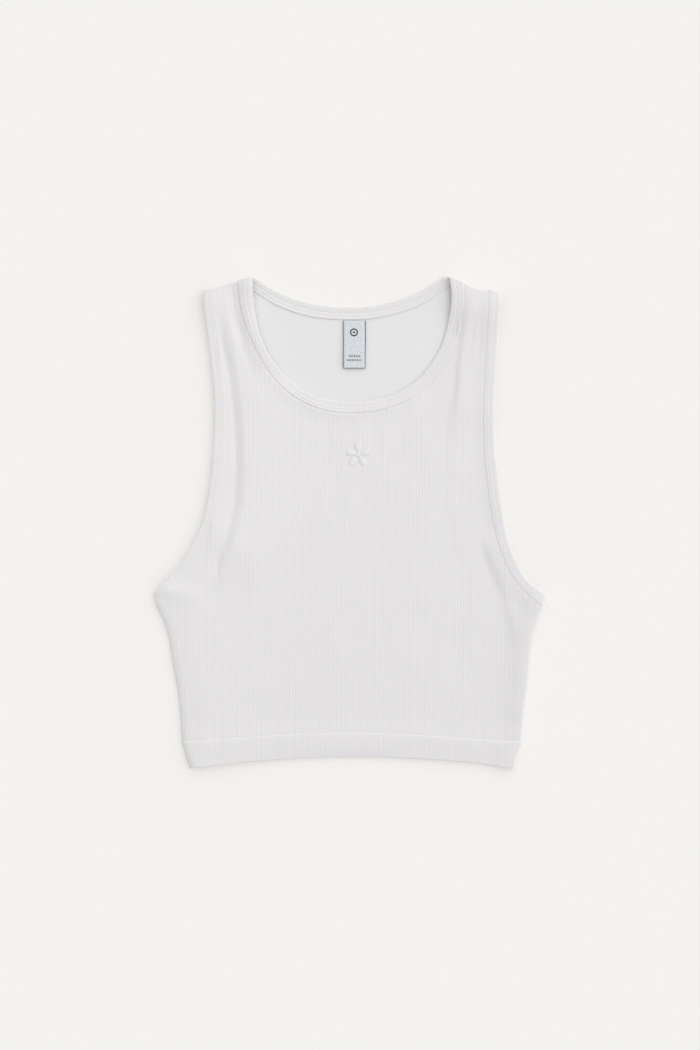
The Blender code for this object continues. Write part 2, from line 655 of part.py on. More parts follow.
def make_neck_label():
    """Label that hangs from the back neck seam and lifts a little at its lower end."""
    seam = BACK_NECK[0]
    top = float(np.interp(np.mean(LABEL_X), seam[:, 0], seam[:, 1])) - GAP - LABEL_CLEAR
    xs = np.linspace(*LABEL_X, LABEL_COLUMNS)
    rings = []
    for share in np.linspace(0.0, 1.0, LABEL_RINGS):
        under = WALL + GAP + LABEL_CURL * share ** 2
        y = top - LABEL_DROP * share
        upper = [(x, y, under + LABEL_WALL) for x in xs]
        lower = [(x, y, under) for x in reversed(xs)]
        rings.append(upper + lower)
    width = len(rings[0])
    last = width * (LABEL_RINGS - 1)
    faces = [tuple(range(width)), tuple(reversed(range(last, last + width)))]
    for k in range(LABEL_RINGS - 1):
        for j in range(width):
            a, b = k * width + j, k * width + (j + 1) % width
            faces.append((a, b, b + width, a + width))
    return add_object("neck_label", [v for ring in rings for v in ring], faces, smooth=False)


def main():
    for obj in list(bpy.data.objects):
        bpy.data.objects.remove(obj, do_unlink=True)
    make_front_panel()
    make_back_panel()
    make_neck_binding()
    make_armhole_binding("armhole_binding_left", LEFT)
    make_armhole_binding("armhole_binding_right", RIGHT)
    make_neck_label()


main()
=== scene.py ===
"""Looks of the cropped rib-knit tank top that lies flat: cloth, bindings, sewing and label.

Lengths are in millimetres until a mesh is made. +Y runs to the neck, +X to the right, +Z up.
"""

import bpy
import numpy as np
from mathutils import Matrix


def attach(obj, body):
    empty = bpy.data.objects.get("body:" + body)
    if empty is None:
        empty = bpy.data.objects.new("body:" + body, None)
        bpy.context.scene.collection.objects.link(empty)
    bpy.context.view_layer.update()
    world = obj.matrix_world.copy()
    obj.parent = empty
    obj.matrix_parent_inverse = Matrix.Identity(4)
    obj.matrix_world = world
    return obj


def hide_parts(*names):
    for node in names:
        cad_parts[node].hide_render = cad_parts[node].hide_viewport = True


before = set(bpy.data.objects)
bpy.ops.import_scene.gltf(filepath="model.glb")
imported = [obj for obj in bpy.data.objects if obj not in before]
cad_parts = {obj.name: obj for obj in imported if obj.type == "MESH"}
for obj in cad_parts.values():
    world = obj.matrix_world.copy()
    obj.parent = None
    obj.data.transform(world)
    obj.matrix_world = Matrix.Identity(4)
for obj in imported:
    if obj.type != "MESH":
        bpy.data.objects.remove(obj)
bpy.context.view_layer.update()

MM = 0.001

# Camera: straight above, framed as the photo is
PHOTO_WIDTH, PHOTO_HEIGHT = 700, 1050
PHOTO_PIXEL = 0.92  # real size of one of its pixels
ORIGIN_COLUMN, ORIGIN_ROW = 349.75, 522.1
CAMERA_HEIGHT = 2400.0
SENSOR = 36.0

# Floor and light
FLOOR = (0.901, 0.892, 0.860)
FLOOR_GLOW = 0.35  # share of its brightness that comes from below, which softens shadows
FLOOR_REACH, FLOOR_BELOW = 15000.0, 0.1
FILL = 0.935
LIGHT_SLANT = 0.54  # share by which the fill is brighter on its bright side
LIGHT_TURN = 0.7  # that side, in radians from +X
SUN_POWER = 0.25
SUN_ANGLE, SUN_TILT = np.radians(60.0), np.radians(45.0)

# Cloth, as in the solids
WALL = 1.2
HEM_EXTRA = 0.8
BINDING_WALL = 1.6
BINDING_LIFT = 0.15
GAP = 0.3
RIB_PITCH = 2.53
SIDE_ROLL = 2.4
LEFT_ROUND, RIGHT_ROUND = 8.0, 1.6  # how far in from a side its rounding goes
LEFT_REACH, RIGHT_REACH = 60.0, 15.0  # how far in from a side its loft goes
SHOULDER_ROLL = 3.0
SHOULDER_ROUND = 1.2
SHOULDER_REACH = 26.0
SHOULDER_STEP = 0.5
FOLD_END = 26.0  # length over which a fold comes up at either end
FOLD_END_SHARE = 0.4  # and at most this share of its length
LOFT_SOFT = 0.05  # rounds the foot of a loft
SEAM_END_Y = -79.0
SEAM_HALF = 0.05  # half of the hairline between the front and the back at their folds
ON_FOLD = 0.06  # a point this near a fold line lies on it
STRAP_DRIFT = 14.0
DRIFT_FROM_X, DRIFT_FROM_Y = (70.0, 110.0), (100.0, 225.0)
DRIFT_PAST, DRIFT_POWER = 1.2, 1.5  # it grows on past the end of that height, as this power
DRIFT_ROUNDS = 8

LEFT, RIGHT = 1, 2  # the sides' columns in the next table

# Side folds: height y, left x, right x, from the hem's corner to the underarm tip
SIDE_ROWS = (
    (-225.8, -147.1, 150.9),
    (-218.9, -149.5, 152.5),
    (-209.7, -152.3, 155.8),
    (-204.6, -153.8, 157.7),
    (-199, -154.3, 158.2),
    (-182, -155.2, 159.4),
    (-154.5, -158, 163.2),
    (-127, -163, 166),
    (-108.5, -165.8, 168.2),
    (-90, -171.2, 172.9),
    (-76.5, -178, 178.2),
    (-66.5, -180.6, 180.6),
)

# Armholes: height y, left free edge, left seam, right free edge, right seam
ARMHOLE_ROWS = (
    (-53.3, -169.8, -154.5, 163, 151.5),
    (-35, -152.8, -141.4, 152, 141.9),
    (-16.5, -142.6, -132, 145.6, 135.4),
    (2, -134.8, -124.4, 141.5, 131),
    (38.7, -128, -117.9, 136.4, 125.6),
    (75.5, -125.1, -115.1, 132.8, 122.6),
    (112.3, -124.4, -114.5, 132.9, 122.5),
    (158.3, -129, -118.9, 135.2, 125.2),
    (186, -132.4, -122.2, 136.9, 126.5),
    (204.3, -134.5, -124.4, 138.3, 127.6),
)

# Shoulder folds, from the armhole's free edge to the neck's
SHOULDERS = {LEFT: (
    (-133.6, 213.4), (-124, 215.6), (-114.8, 218.2), (-105.6, 220.6),
    (-101, 222.6), (-96.4, 224.6), (-91.8, 225.8), (-88.8, 225),
), RIGHT: (
    (137.6, 210.9), (128.6, 213.9), (119.8, 213.4), (110.6, 217),
    (104, 220.7), (101, 222.3), (96.8, 224.1), (91.3, 225.2),
)}

# Front neck, left to right: the seam of the binding, then its free edge
FRONT_NECK_SEAM = (
    (-103.3, 221.6), (-102.8, 213), (-101.2, 198.8), (-97.3, 185), (-91.8, 171.2),
    (-82.5, 151.3), (-71.9, 134.8), (-61.1, 123), (-50.4, 114.6), (-38.5, 107.9),
    (-23, 102.6), (-8.3, 100.3), (6, 100), (22.7, 101.6), (38.5, 105.4),
    (54.5, 112), (68, 121.2), (79.6, 132.8), (89.3, 147), (96.2, 160),
    (100.8, 173), (103.6, 187), (104.8, 201.5), (104.4, 220.5),
)
FRONT_NECK_EDGE = (
    (-88.8, 225), (-89.3, 213.5), (-88.3, 202), (-86.2, 188.2), (-82.4, 172.2),
    (-75.9, 156.6), (-66.6, 142.6), (-54.8, 130.4), (-39, 119.7), (-19.6, 112.8),
    (0.2, 111), (24, 113), (44, 119), (58.5, 128.2), (69.3, 138.6),
    (77.6, 150), (83.4, 160.4), (87.8, 172.4), (90.8, 185.4), (92.9, 198),
    (93.4, 210), (91.3, 225.2),
)
# Back neck, left to right: the seam of the binding, then its free edge
BACK_NECK_SEAM = (
    (-103.3, 221.6), (-95.5, 216.4), (-87.2, 211), (-73.4, 202.2), (-55, 193.9),
    (-36.6, 188.6), (-18.2, 186.3), (0.2, 185.6), (18.6, 186.4), (37, 189.8),
    (55.4, 195.3), (73.8, 204), (84, 211.6), (94, 217.2), (104.4, 220.5),
)
BACK_NECK_EDGE = (
    (-88.8, 225), (-82.6, 221.4), (-73.4, 215.2), (-55, 206.4), (-36.6, 200.9),
    (-18.2, 197.8), (0.2, 197), (18.6, 198), (37, 201.7), (55.4, 207.9),
    (73.8, 217), (82, 222.6), (87, 225.4), (91.3, 225.2),
)

# Hem, left to right: the lower edge, then the line of the hem stitching
HEM_EDGE = (
    (-147.1, -225.8), (-142, -225.9), (-128.6, -224.5), (-110.2, -222.2), (-82.6, -219.5),
    (-55, -217.8), (-27.4, -216.4), (0.2, -215.9), (27.8, -216.1), (55.4, -217.2),
    (83, -218.8), (110.6, -221.1), (129, -223.3), (142.8, -225.8), (150.9, -225.8),
)
HEM_STITCH = (
    (-160, -202), (-140, -200.6), (-97.8, -197.4), (-59.8, -195.2), (-28.3, -193.8),
    (0, -193.3), (27.8, -193.9), (56, -195), (89.5, -197), (117.1, -199),
    (137.3, -200.4), (162, -202),
)

# Large folds, as in the solids. Columns: name, height, half-width on the left hand and on the
# right hand of its line, and the line, from its top down or from its left end
FOLDS = (
    ("left armhole ridge", 1, 18, 30,
     ((-130, 226), (-127, 208), (-124, 170), (-119, 120), (-119, 70),
      (-125, 10), (-138, -20), (-156, -48))),
    ("left neck ridge", 2.4, 14, 8.5,
     ((-95, 240), (-94, 222), (-93, 200), (-88, 178), (-76, 152), (-60, 132))),
    ("left strap fold", 2.3, 42, 6.5,
     ((-113, 204), (-107.5, 172), (-101, 135), (-97, 103), (-95, 66),
      (-95, 38), (-97.5, 11), (-104, -16), (-112, -36), (-119, -66))),
    ("right armhole ridge", 1.3, 30, 8,
     ((133, 226), (131, 208), (130, 160), (129, 100), (130, 50), (138, 0),
      (150, -34))),
    ("right neck ridge", 2.4, 36, 11,
     ((98, 240), (97, 224), (98, 208), (96, 192), (91, 172))),
    ("right strap fold", 2.1, 34, 6.8,
     ((116, 226), (113, 208), (109.5, 186), (106, 163), (103.5, 135),
      (101, 103), (98, 76))),
    ("right pit fold", 1.9, 20, 6.8,
     ((124, -6), (131, -27), (139, -49), (147, -71), (152.5, -95), (154, -120))),
    ("right pit ridge", 2, 14, 14,
     ((138, -6), (149, -28), (160, -52), (172, -72), (180, -100))),
    ("right side ridge", 1.5, 30, 16,
     ((184, -50), (177, -76), (168, -108), (163, -154), (158, -196))),
    ("left pit ridge", 1.3, 7.5, 5,
     ((-190, -60), (-172, -63), (-158, -66), (-145, -69), (-128, -74))),
)

# Finer creases of the front, the same columns; a trough's height is negative
CREASES = (
    ("left strap crease", -0.6, 2.6, 3.4,
     ((-122, 190), (-117.5, 170), (-111, 135), (-106.5, 103), (-104, 66),
      (-104, 39), (-107, 11), (-113, -16.5), (-120, -34), (-124, -60))),
    ("left neck, top", -1.35, 3, 5,
     ((-107, 232), (-107.5, 218), (-106.5, 205), (-104, 190), (-99, 174),
      (-90, 154))),
    ("left neck, seam", -0.7, 1.7, 1,
     ((-104.2, 228), (-103.4, 213), (-101.8, 198.8), (-98, 185), (-93.4, 173))),
    ("left neck, streak", -0.4, 2, 2.6,
     ((-108, 196), (-104.5, 180), (-98, 160), (-88, 138), (-76, 122))),
    ("left armhole, crumple", 1.2, 30, 4.6, ((-126, 18), (-124, -8), (-130, -36))),
    ("left armhole, low crumple", -0.35, 3, 3.5, ((-136, -12), (-142, -26), (-152, -40))),
    ("right strap, streak", -0.5, 2, 3,
     ((104.5, 200), (103, 182), (99.5, 160), (97.5, 135), (94, 104))),
    ("right strap, second streak", -0.2, 1.8, 2.4, ((115, 200), (113, 176), (110, 150))),
    ("right strap, third streak", -0.2, 1.8, 2.2, ((120.5, 196), (119.5, 172), (118, 144))),
    ("right strap, low fold", 0.55, 40, 6,
     ((100, 126), (97, 85), (96, 48), (97, 11), (103, -16.5), (116, -44))),
    ("right pit, crease", -1.05, 2.8, 3.8,
     ((118, -14), (124, -34), (134, -54), (145, -76))),
    ("right pit, hollow", -0.5, 4, 5, ((137, -62), (150, -72), (166, -80))),
    ("right side, low fold", 0.4, 12, 5, ((158, -86), (156.5, -118), (154, -160))),
    ("front neck ridge", 0.8, 8, 5.5,
     ((-78, 146), (-61, 123), (-38.5, 108), (-8, 100.5), (22.7, 101.6), (54.5, 112),
      (74, 127))),
    ("hem, left dimple", -0.32, 3.2, 3.8, ((-118, -178), (-119, -196), (-118, -214))),
    ("hem, left second dimple", -0.2, 2.6, 3.2, ((-127, -182), (-126, -197), (-126, -210))),
    ("hem, middle dimple", -0.2, 3, 3.6, ((-6, -180), (-5, -194), (-4, -208))),
    ("hem, right dimple", -0.32, 3, 3.4, ((120, -182), (121, -198), (123, -214))),
    ("hem, far right dimple", -0.25, 3, 3.4, ((143, -180), (142, -197), (144, -212))),
)

# Soft creases where the back stands off the surface, the same columns
BACK_CREASES = (
    ("left neck", 0.9, 10, 12,
     ((-94, 215), (-89, 190), (-82, 168), (-72, 150), (-58, 134))),
    ("left strap", 0.5, 5, 9, ((-113, 176), (-106, 130), (-101, 84), (-104, 30))),
    ("left strap, low", 0.35, 8, 5, ((-112, 40), (-118, -2), (-130, -38))),
    ("left pit", 0.45, 6, 8, ((-160, -62), (-140, -74), (-112, -92))),
    ("left side", 0.4, 7, 5, ((-148, -98), (-140, -140), (-138, -180))),
    ("right strap", 0.5, 9, 5, ((110, 170), (104, 128), (98, 70), (99, 18))),
    ("right pit", 0.5, 8, 6, ((122, -30), (136, -62), (147, -98), (150, -134))),
    ("right pit, low", 0.35, 5, 7, ((158, -76), (132, -88), (98, -104))),
    ("middle", 0.3, 12, 16, ((-38, 60), (-30, 0), (-34, -70), (-26, -130))),
    ("middle, right", 0.3, 15, 11, ((44, 90), (50, 20), (42, -60))),
    ("hem, left", 0.3, 5, 4, ((-96, -166), (-94, -186), (-95, -206))),
    ("hem, right", 0.3, 4, 6, ((70, -160), (72, -184), (70, -206))),
)

# Finer form of the cloth
RIB_HEIGHT = 0.18
RIB_ROUND = 0.75  # power that rounds a rib's crest and narrows its groove
RIB_UNEVEN = 0.18  # share by which a rib's height varies
RIB_SCALE = (7.3, 0.12)  # how fast it varies from rib to rib and along a rib
RIB_FROM_FOLD, RIB_FROM_HEM = (-0.5, 2.0), (-0.3, 1.5)  # the ribs come in over these distances
RIB_FADE = (0.55, 1.1)  # share of the ribs that the hem's stitching presses flat, and its reach
COLUMNS_PER_RIB = 6
LEAST_COLUMN, SAME_HEIGHT = 0.2, 0.001  # shorter columns are left out, and closer points are one
EDGE_OFFSETS = np.array((0.0, 0.1, 0.4, 0.8, 1.2, 1.6, 2.2, 3.2))
ENDS_ROOM = 2.2  # the ends of a column under this many times their length are squeezed
HEM_ROWS = 6
ROW_STEP = 6.0
ROWS_ABOVE, ROWS_END_Y = 2.5, 224.0  # even rows run from this far above the stitching to this height
INNER_ENDS, INNER_STRIDE = (0, 1, 3, 6), 3  # rows that the plain inner face keeps at its ends, and between
TUCK = 1.2  # a panel runs this far into a binding
ARMHOLE_CLEAR = 1.0  # and its side fold stops this far below an armhole
AIR = 0.6  # the front floats this far over the back
AIR_FROM_FOLD, AIR_FROM_HEM = (2.0, 25.0), (1.0, 20.0)  # the air comes in over these distances
SETTLE, SETTLE_REACH = 0.85, 24.0  # share of the air that is gone at the front neck
SEAM_LIFT = 0.2  # a panel is held up beside a binding's seam
SEAM_LIFT_REACH, SEAM_FROM_FOLD = 5.0, 5.0
SEAM_GROOVES = (0.42, -0.2, 0.14)  # and sewn down at the seam: neck, left and right armholes
SEAM_GROOVE_REACH = 0.6
PUCKER = 0.06
PUCKER_REACH = 4.0
SWELL, FINE_SWELL = 0.1, 0.04  # slow and finer unevenness of the front
FINE_STRETCH = (1.0, 0.35)  # which is longer along the ribs
CREASE_UNEVEN = 0.3  # share by which a crease's depth varies
FORM_FROM_FOLD = 6.0  # the finer form comes in over this distance
FORM_DEEPEST = 0.85  # and takes away at most this share of the height
BACK_FROM_FOLD = 8.0
BACK_SWELL = 0.05
BACK_STITCH_SHARE = 0.5
HEM_EASE = 14.0  # the front comes down this gently above its hem
HEM_RISE = 0.6  # share of the hem's extra that shows on top
HEM_ROUND = 1.3
HEM_END = 0.12  # share of the hem's thickness at its lower edge
HEM_CURL = 0.9
HEM_CURL_REACH = 11.0
HEM_CURL_X = (-95.0, -55.0, 25.0, 60.0)
STITCH_DEPTH = 0.3
STITCH_HALF = 1.3
STITCH_ROWS = np.array((-1.3, -0.9, -0.6, -0.3, 0.0, 0.3, 0.6, 0.9, 1.3))
HEM_STITCHES_X = (-152.0, 156.5, 1.5)

# Unevenness: the number and the spread of its waves, then their size and a seed for each kind
WAVE_COUNT, WAVE_SPREAD = 8, (0.7, 1.6)
SWELL_WAVES, FINE_WAVES = (70.0, 3), (16.0, 5)
CREASE_WAVES, PUCKER_WAVES = (40.0, 17), (5.0, 11)
BACK_WAVES, LABEL_WAVES = (45.0, 13), (30.0, 41)
RIB_WAVES, BAND_RIB_WAVES = (9.0, 21), (9.0, 31)

# Bindings
BAND_RIB_PITCH = 2.76
BAND_RIB_HEIGHT = 0.27
BAND_RIB_UNEVEN = 0.2
BAND_STEP = 0.5
BAND_TURN = 10  # stations over each half of a rolled fold
BAND_FLOOR = 0.02
NEEDLE_ROWS = (0.25, 0.54)  # shares of the width from the seam
NEEDLE_REACH = 0.55
NEEDLE_FADE = 0.6  # how much of the ribs a needle row presses flat
NEEDLE_OFFSETS = (-0.9, -0.45, 0.0, 0.45, 0.9)
NECK_NEEDLE, ARMHOLE_NEEDLE = 0.16, 0.06  # depths of the needle rows
# Rounded edges: distance from the seam or the free edge, place between the two faces
SEAM_SECTION = ((0.0, 0.4), (0.15, 0.72), (0.4, 0.9), (0.75, 0.98))
EDGE_SECTION = ((0.8, 1.0), (0.5, 0.94), (0.25, 0.83), (0.08, 0.68))
SEAM_RIBS = 0.45  # share of a binding's ribs that shows beside its seam
SEAM_RIBS_REACH = (0.2, 0.55)  # and it grows to the whole between these shares of the width
SEAM_RIBS_FROM = 0.3
EDGE_UNDER = 0.4  # the underside is less rounded at the free edge than the top
BACK_NECK_LIFT = 0.55  # the inner seam edge of the back neck stands up
BACK_NECK_REACH = 3.5
BACK_NECK_FROM_FOLD = (8.0, 45.0)
BACK_NECK_UNDER = 0.6  # share of it by which the underside stands up too
NECK_SETTLE = 0.45  # the front neck's free edge lies this much lower
NECK_SETTLE_REACH = 6.0
NECK_FROM_FOLD = (20.0, 70.0)
NECK_LEFT_SETTLE = 0.5  # and this much more on its left
NECK_LEFT_X, NECK_LEFT_FROM_FOLD = (30.0, 70.0), (4.0, 20.0)

# Thread
THREAD = 0.34
BAND_THREAD = 0.18
BAND_STITCH_IN = 0.05  # a binding's stitches lie this far in
HEM_STITCH_UP = 0.04  # the hem's stitches lie this far up in their groove
STITCH_LONG = 2.6
STITCH_GAP = 0.55
STITCH_START = 0.15
STITCH_SHARES = np.array((0.0, 0.12, 0.35, 0.65, 0.88, 1.0))
STITCH_LIFT = np.array((-0.3, -0.03, 0.05, 0.05, -0.03, -0.3))
THREAD_GIRTH = np.array((0.45, 0.9, 1.0, 1.0, 0.9, 0.45))
THREAD_SIDES = 6
SATIN_ROUND = 0.7  # power that rounds the crown of satin stitch

# Neck label: one strip folded double, with plain woven marks
LABEL_X = (-5.95, 14.9)
LABEL_DROP = 43.9
LABEL_CLEAR = 0.2  # between its top and the seam, besides the gap
LABEL_LAYER = 0.4
LABEL_BEND = 0.3  # radius of its fold, to the middle of the layer
LABEL_SHIFT = 0.7  # its under layer shows this far at the right
LABEL_WIDTH = LABEL_X[1] - LABEL_X[0] - LABEL_SHIFT
LABEL_CURL = 0.7
LABEL_WAVE, LEFT_WAVE = 0.12, 0.5  # unevenness of its edges, and the left half's share of it
LABEL_ROWS, LABEL_TURN, LABEL_COLUMNS = 26, 9, 13
EDGE_SHADE_WIDTH = 0.5  # width of the painted shade along its sides
FOLD_SHADE_WIDTH = 0.55  # width of the painted shade to each side of its fold
LABEL_FOLD_AT = LABEL_DROP - LABEL_LAYER / 2 - LABEL_BEND + np.pi / 2 * LABEL_BEND
LABEL_MARK = (3.9, 174.4)  # middle of its ring
LABEL_RING, RING_THREADS = (2.5, 3.7), 64
LABEL_DOT, LABEL_DOT_STEP = 1.0, 0.22
LABEL_TICKS = ((152.5, -0.4, 10.2), (148.8, -2.4, 10.2))  # height y, from x, to x
TICK_STEP = 1.55
TICK_HIGH = 1.9
TICK_THREADS = (0.0, 0.2, 0.4)
RING_PUFF, TICK_PUFF = 0.05, 0.04
RING_THREAD, FINE_THREAD = 0.32, 0.24
MARKS_UP = 0.02

# Embroidered flower on the chest
FLOWER = (7.6, 61.7)
PETALS = 5
PETAL_FROM, PETAL_TO = 2.6, 10.8
PETAL_WIDE = 6.6
PETAL_WIDEST = 0.56  # share of its length; a sine rises to it and part of a circle falls from it
PETAL_FOOT, PETAL_FOOT_ROUND = 0.05, 0.8
PETAL_TIP = (1.7, 0.95, 0.03)
PETAL_PUFF = 0.45
KNOT_RADIUS, KNOT_PUFF = 1.7, 0.8
KNOT_HALF = 4  # threads to each side of a knot's middle
SATIN_STEP = 0.36
SATIN_THREAD = 0.52  # thicker than the step, so that no gap shows
FLOWER_ON_RIBS = 0.8  # share of the ribs' height that it lies on

# Finish
WHITE = (0.80, 0.785, 0.793)
INSIDE = (0.81, 0.80, 0.80)
SEWING_WHITE, SILK_WHITE = (0.81, 0.80, 0.805), (0.86, 0.85, 0.87)
MARK_BLACK = (0.02, 0.02, 0.022)
LABEL_GREY = (0.68, 0.715, 0.755)
# painted shade along the label's sides and across its fold
LABEL_EDGE_SHADE = (0.18, 0.19, 0.20)
HEM_SHADE = 0.972  # painted shade: the cloth's colour is this much darker at its hem than at its neck, between the heights below
HEM_SHADE_Y = (60.0, -215.0)
SHEEN_ROUGHNESS, SPECULAR = 0.6, 0.25
KNIT_COURSE = 1.05  # length of a stitch along the rib
KNIT_SLANT, KNIT_FADE = 2.2, 1.6
FUZZ_SIZE, FUZZ_DETAIL, FUZZ = 2.6, 4.0, 0.8
KNIT_MOTTLE, SATIN_MOTTLE = (0.02, 0.004), (0.8, 0.17)  # scale, and share of the colour
MOTTLE_DETAIL, MOTTLE_SPREAD = 3.0, (0.3, 0.7)
KNIT_BUMP, FINE_BUMP = (0.6, 0.00006), (0.5, 0.00004)  # strength, and depth in metres
THREAD_TWIST = 16.0
SATIN_WEFT, SATIN_WARP, SATIN_WARP_SHARE = 14.0, 9.0, 0.5

BLOCK = 8192  # points that are measured at a time
SPLINE_PARTS = 12
SIDE_STEP, EDGE_STEP, FOLD_STEP, HEM_STEP = 4.5, 1.0, 5.0, 3.0  # between the points of curves
SEAM_STRIDE, NECK_STRIDE = 2, 4  # every second or fourth point does for wide distances


# Curves in plan

def mixed(first, last, t, start, end):
    """Goes from first, where t is start, to last, where t is end."""
    return ((end - t) * first + (t - start) * last) / (end - start)


def smooth_curve(points, step):
    """Catmull-Rom curve through the points, read at even steps along its length."""
    pts = np.array(points, float)
    ends = np.vstack([2 * pts[0] - pts[1], pts, 2 * pts[-1] - pts[-2]])
    fine = []
    for k in range(len(pts) - 1):
        four = ends[k:k + 4]
        knots = np.cumsum([0.0] + [np.linalg.norm(side) ** 0.5 for side in np.diff(four, axis=0)])
        t = np.linspace(knots[1], knots[2], SPLINE_PARTS, endpoint=False)[:, None]
        three = [mixed(four[i], four[i + 1], t, knots[i], knots[i + 1]) for i in range(3)]
        two = [mixed(three[i], three[i + 1], t, knots[i], knots[i + 2]) for i in range(2)]
        fine.append(mixed(*two, t, knots[1], knots[2]))
    fine = np.vstack([*fine, pts[-1:]])
    count = max(2, int(round(length_of(fine) / step)) + 1)
    return read_curve(fine, np.linspace(0.0, 1.0, count))


def length_of(line):
    return float(np.linalg.norm(np.diff(line, axis=0), axis=1).sum())


def along_line(line):
    """Length from a line's start to each of its points."""
    return np.concatenate([[0.0], np.cumsum(np.linalg.norm(np.diff(line, axis=0), axis=1))])


def read_curve(line, shares, values=None):
    """Points at the given shares of a line's length, or values that its points have there."""
    along = along_line(line)
    columns = (line if values is None else values).T
    return np.column_stack([np.interp(np.asarray(shares) * along[-1], along, part) for part in columns])


def nearest_on(line, xy):
    """Distance of each point from a line, the nearest segment, and the share along that."""
    start, step = line[:-1], np.diff(line, axis=0)
    size = (step ** 2).sum(1)
    away, index, share = np.empty(len(xy)), np.empty(len(xy), int), np.empty(len(xy))
    for first in range(0, len(xy), BLOCK):
        part = slice(first, first + BLOCK)
        rel = xy[part, None, :] - start[None]
        along = np.clip((rel * step).sum(2) / size, 0.0, 1.0)
        gap = ((rel - along[:, :, None] * step[None]) ** 2).sum(2)
        best = gap.argmin(1)
        rows = np.arange(len(best))
        index[part], share[part], away[part] = best, along[rows, best], np.sqrt(gap[rows, best])
    return away, index, share


def inward_normals(line):
    """Unit normal of each segment, on the side of the garment's middle."""
    step = np.diff(line, axis=0)
    normal = np.column_stack([-step[:, 1], step[:, 0]])
    normal /= np.linalg.norm(normal, axis=1)[:, None]
    normal[(normal * (line[:-1] + line[1:])).sum(1) > 0] *= -1
    return normal


def ramp(value, start, end):
    """Smooth step from 0 at start to 1 at end."""
    t = np.clip((value - start) / (end - start), 0.0, 1.0)
    return t * t * (3 - 2 * t)


def bell(value, reach):
    """1 at a value of 0, falling away over the reach on both sides."""
    return np.exp(-(value / reach) ** 2)


def waves(xy, size, seed):
    """Smooth unevenness of about the given size, mostly between -1 and 1."""
    draw = np.random.RandomState(seed)
    total = np.zeros(len(xy))
    for _ in range(WAVE_COUNT):
        turn, phase = draw.uniform(0, 2 * np.pi, 2)
        along = xy @ np.array([np.cos(turn), np.sin(turn)])
        total += np.sin(2 * np.pi * along / (size * draw.uniform(*WAVE_SPREAD)) + phase)
    return total / np.sqrt(WAVE_COUNT)


def on_shoulder(side, x):
    return (x, float(np.interp(x, *np.array(sorted(SHOULDERS[side])).T)))


def armhole_curves(side):
    """Seam and free edge of an armhole, from the underarm up to the shoulder."""
    pit = (float(np.interp(SEAM_END_Y, SIDES[side][:, 1], SIDES[side][:, 0])), SEAM_END_Y)
    tip = (SIDE_ROWS[-1][side], SIDE_ROWS[-1][0])
    edge, seam = ([(row[column], row[0]) for row in ARMHOLE_ROWS] for column in (2 * side - 1, 2 * side))
    seam = [pit, *seam, on_shoulder(side, seam[-1][0])]
    return smooth_curve(seam, EDGE_STEP), smooth_curve([tip, *edge, SHOULDERS[side][0]], EDGE_STEP)


SIDES = {side: smooth_curve([(row[side], row[0]) for row in SIDE_ROWS], SIDE_STEP) for side in (LEFT, RIGHT)}
ARMHOLES = {side: armhole_curves(side) for side in (LEFT, RIGHT)}
FRONT_NECK = (smooth_curve(FRONT_NECK_SEAM, EDGE_STEP), smooth_curve(FRONT_NECK_EDGE, EDGE_STEP))
BACK_NECK = (smooth_curve(BACK_NECK_SEAM, EDGE_STEP), smooth_curve(BACK_NECK_EDGE, EDGE_STEP))
LABEL_TOP = float(np.interp(np.mean(LABEL_X), *BACK_NECK[0].T)) - GAP - LABEL_CLEAR
# Folded edges: line, radius of the roll, how far in its rounding goes, how far in its loft goes
FOLD_LINES = (
    (SIDES[LEFT], SIDE_ROLL, LEFT_ROUND, LEFT_REACH),
    (SIDES[RIGHT], SIDE_ROLL, RIGHT_ROUND, RIGHT_REACH),
    *((np.array(line), SHOULDER_ROLL, SHOULDER_ROUND, SHOULDER_REACH) for line in SHOULDERS.values()),
)
FOLD_CURVES, CREASE_CURVES, BACK_CURVES = (
    [(height, left, right, smooth_curve(line, FOLD_STEP)) for _, height, left, right, line in table]
    for table in (FOLDS, CREASES, BACK_CREASES))
STITCH_LINE, HEM_LINE = smooth_curve(HEM_STITCH, HEM_STEP), smooth_curve(HEM_EDGE, HEM_STEP)


# Heights of the cloth

def fold_place(xy):
    """Nearest folded edge of each point: distance, inward normal, and the edge's three sizes."""
    found = [nearest_on(entry[0], xy) for entry in FOLD_LINES]
    best = np.argmin([hit[0] for hit in found], axis=0)
    away = np.min([hit[0] for hit in found], axis=0)
    normal = np.zeros_like(xy)
    for k, entry in enumerate(FOLD_LINES):
        mine = best == k
        normal[mine] = inward_normals(entry[0])[found[k][1][mine]]
    sizes = np.array([entry[1:] for entry in FOLD_LINES])[best]
    return away, normal, sizes.T


def below_stitch(xy):
    """How far each point lies below the hem's stitching."""
    return np.interp(xy[:, 0], *STITCH_LINE.T) - xy[:, 1]


def above_hem(xy):
    """How far each point lies above the hem's lower edge."""
    return xy[:, 1] - np.interp(xy[:, 0], *HEM_LINE.T)


def in_hem(xy):
    """1 in the doubled hem, 0 above its stitching."""
    return ramp(below_stitch(xy), -STITCH_HALF, STITCH_HALF)


def stitch_groove(xy):
    return STITCH_DEPTH * bell(below_stitch(xy), 0.5 * STITCH_HALF)


def fold_heights(xy, curves):
    """Sum of folds that rise to their lines, each with a half-width of its own on either hand."""
    total = np.zeros(len(xy))
    for height, left, right, line in curves:
        away, index, share = nearest_on(line, xy)
        ahead, aside = line[index + 1] - line[index], xy - line[index]
        left_hand = ahead[:, 0] * aside[:, 1] > ahead[:, 1] * aside[:, 0]
        length = length_of(line)
        along = (index + share) / (len(line) - 1) * length
        end = min(max(FOLD_END, left, right), FOLD_END_SHARE * length)
        taper = ramp(along, 0.0, end) * ramp(length - along, 0.0, end)
        total += height * taper * bell(away, np.where(left_hand, left, right))
    return total


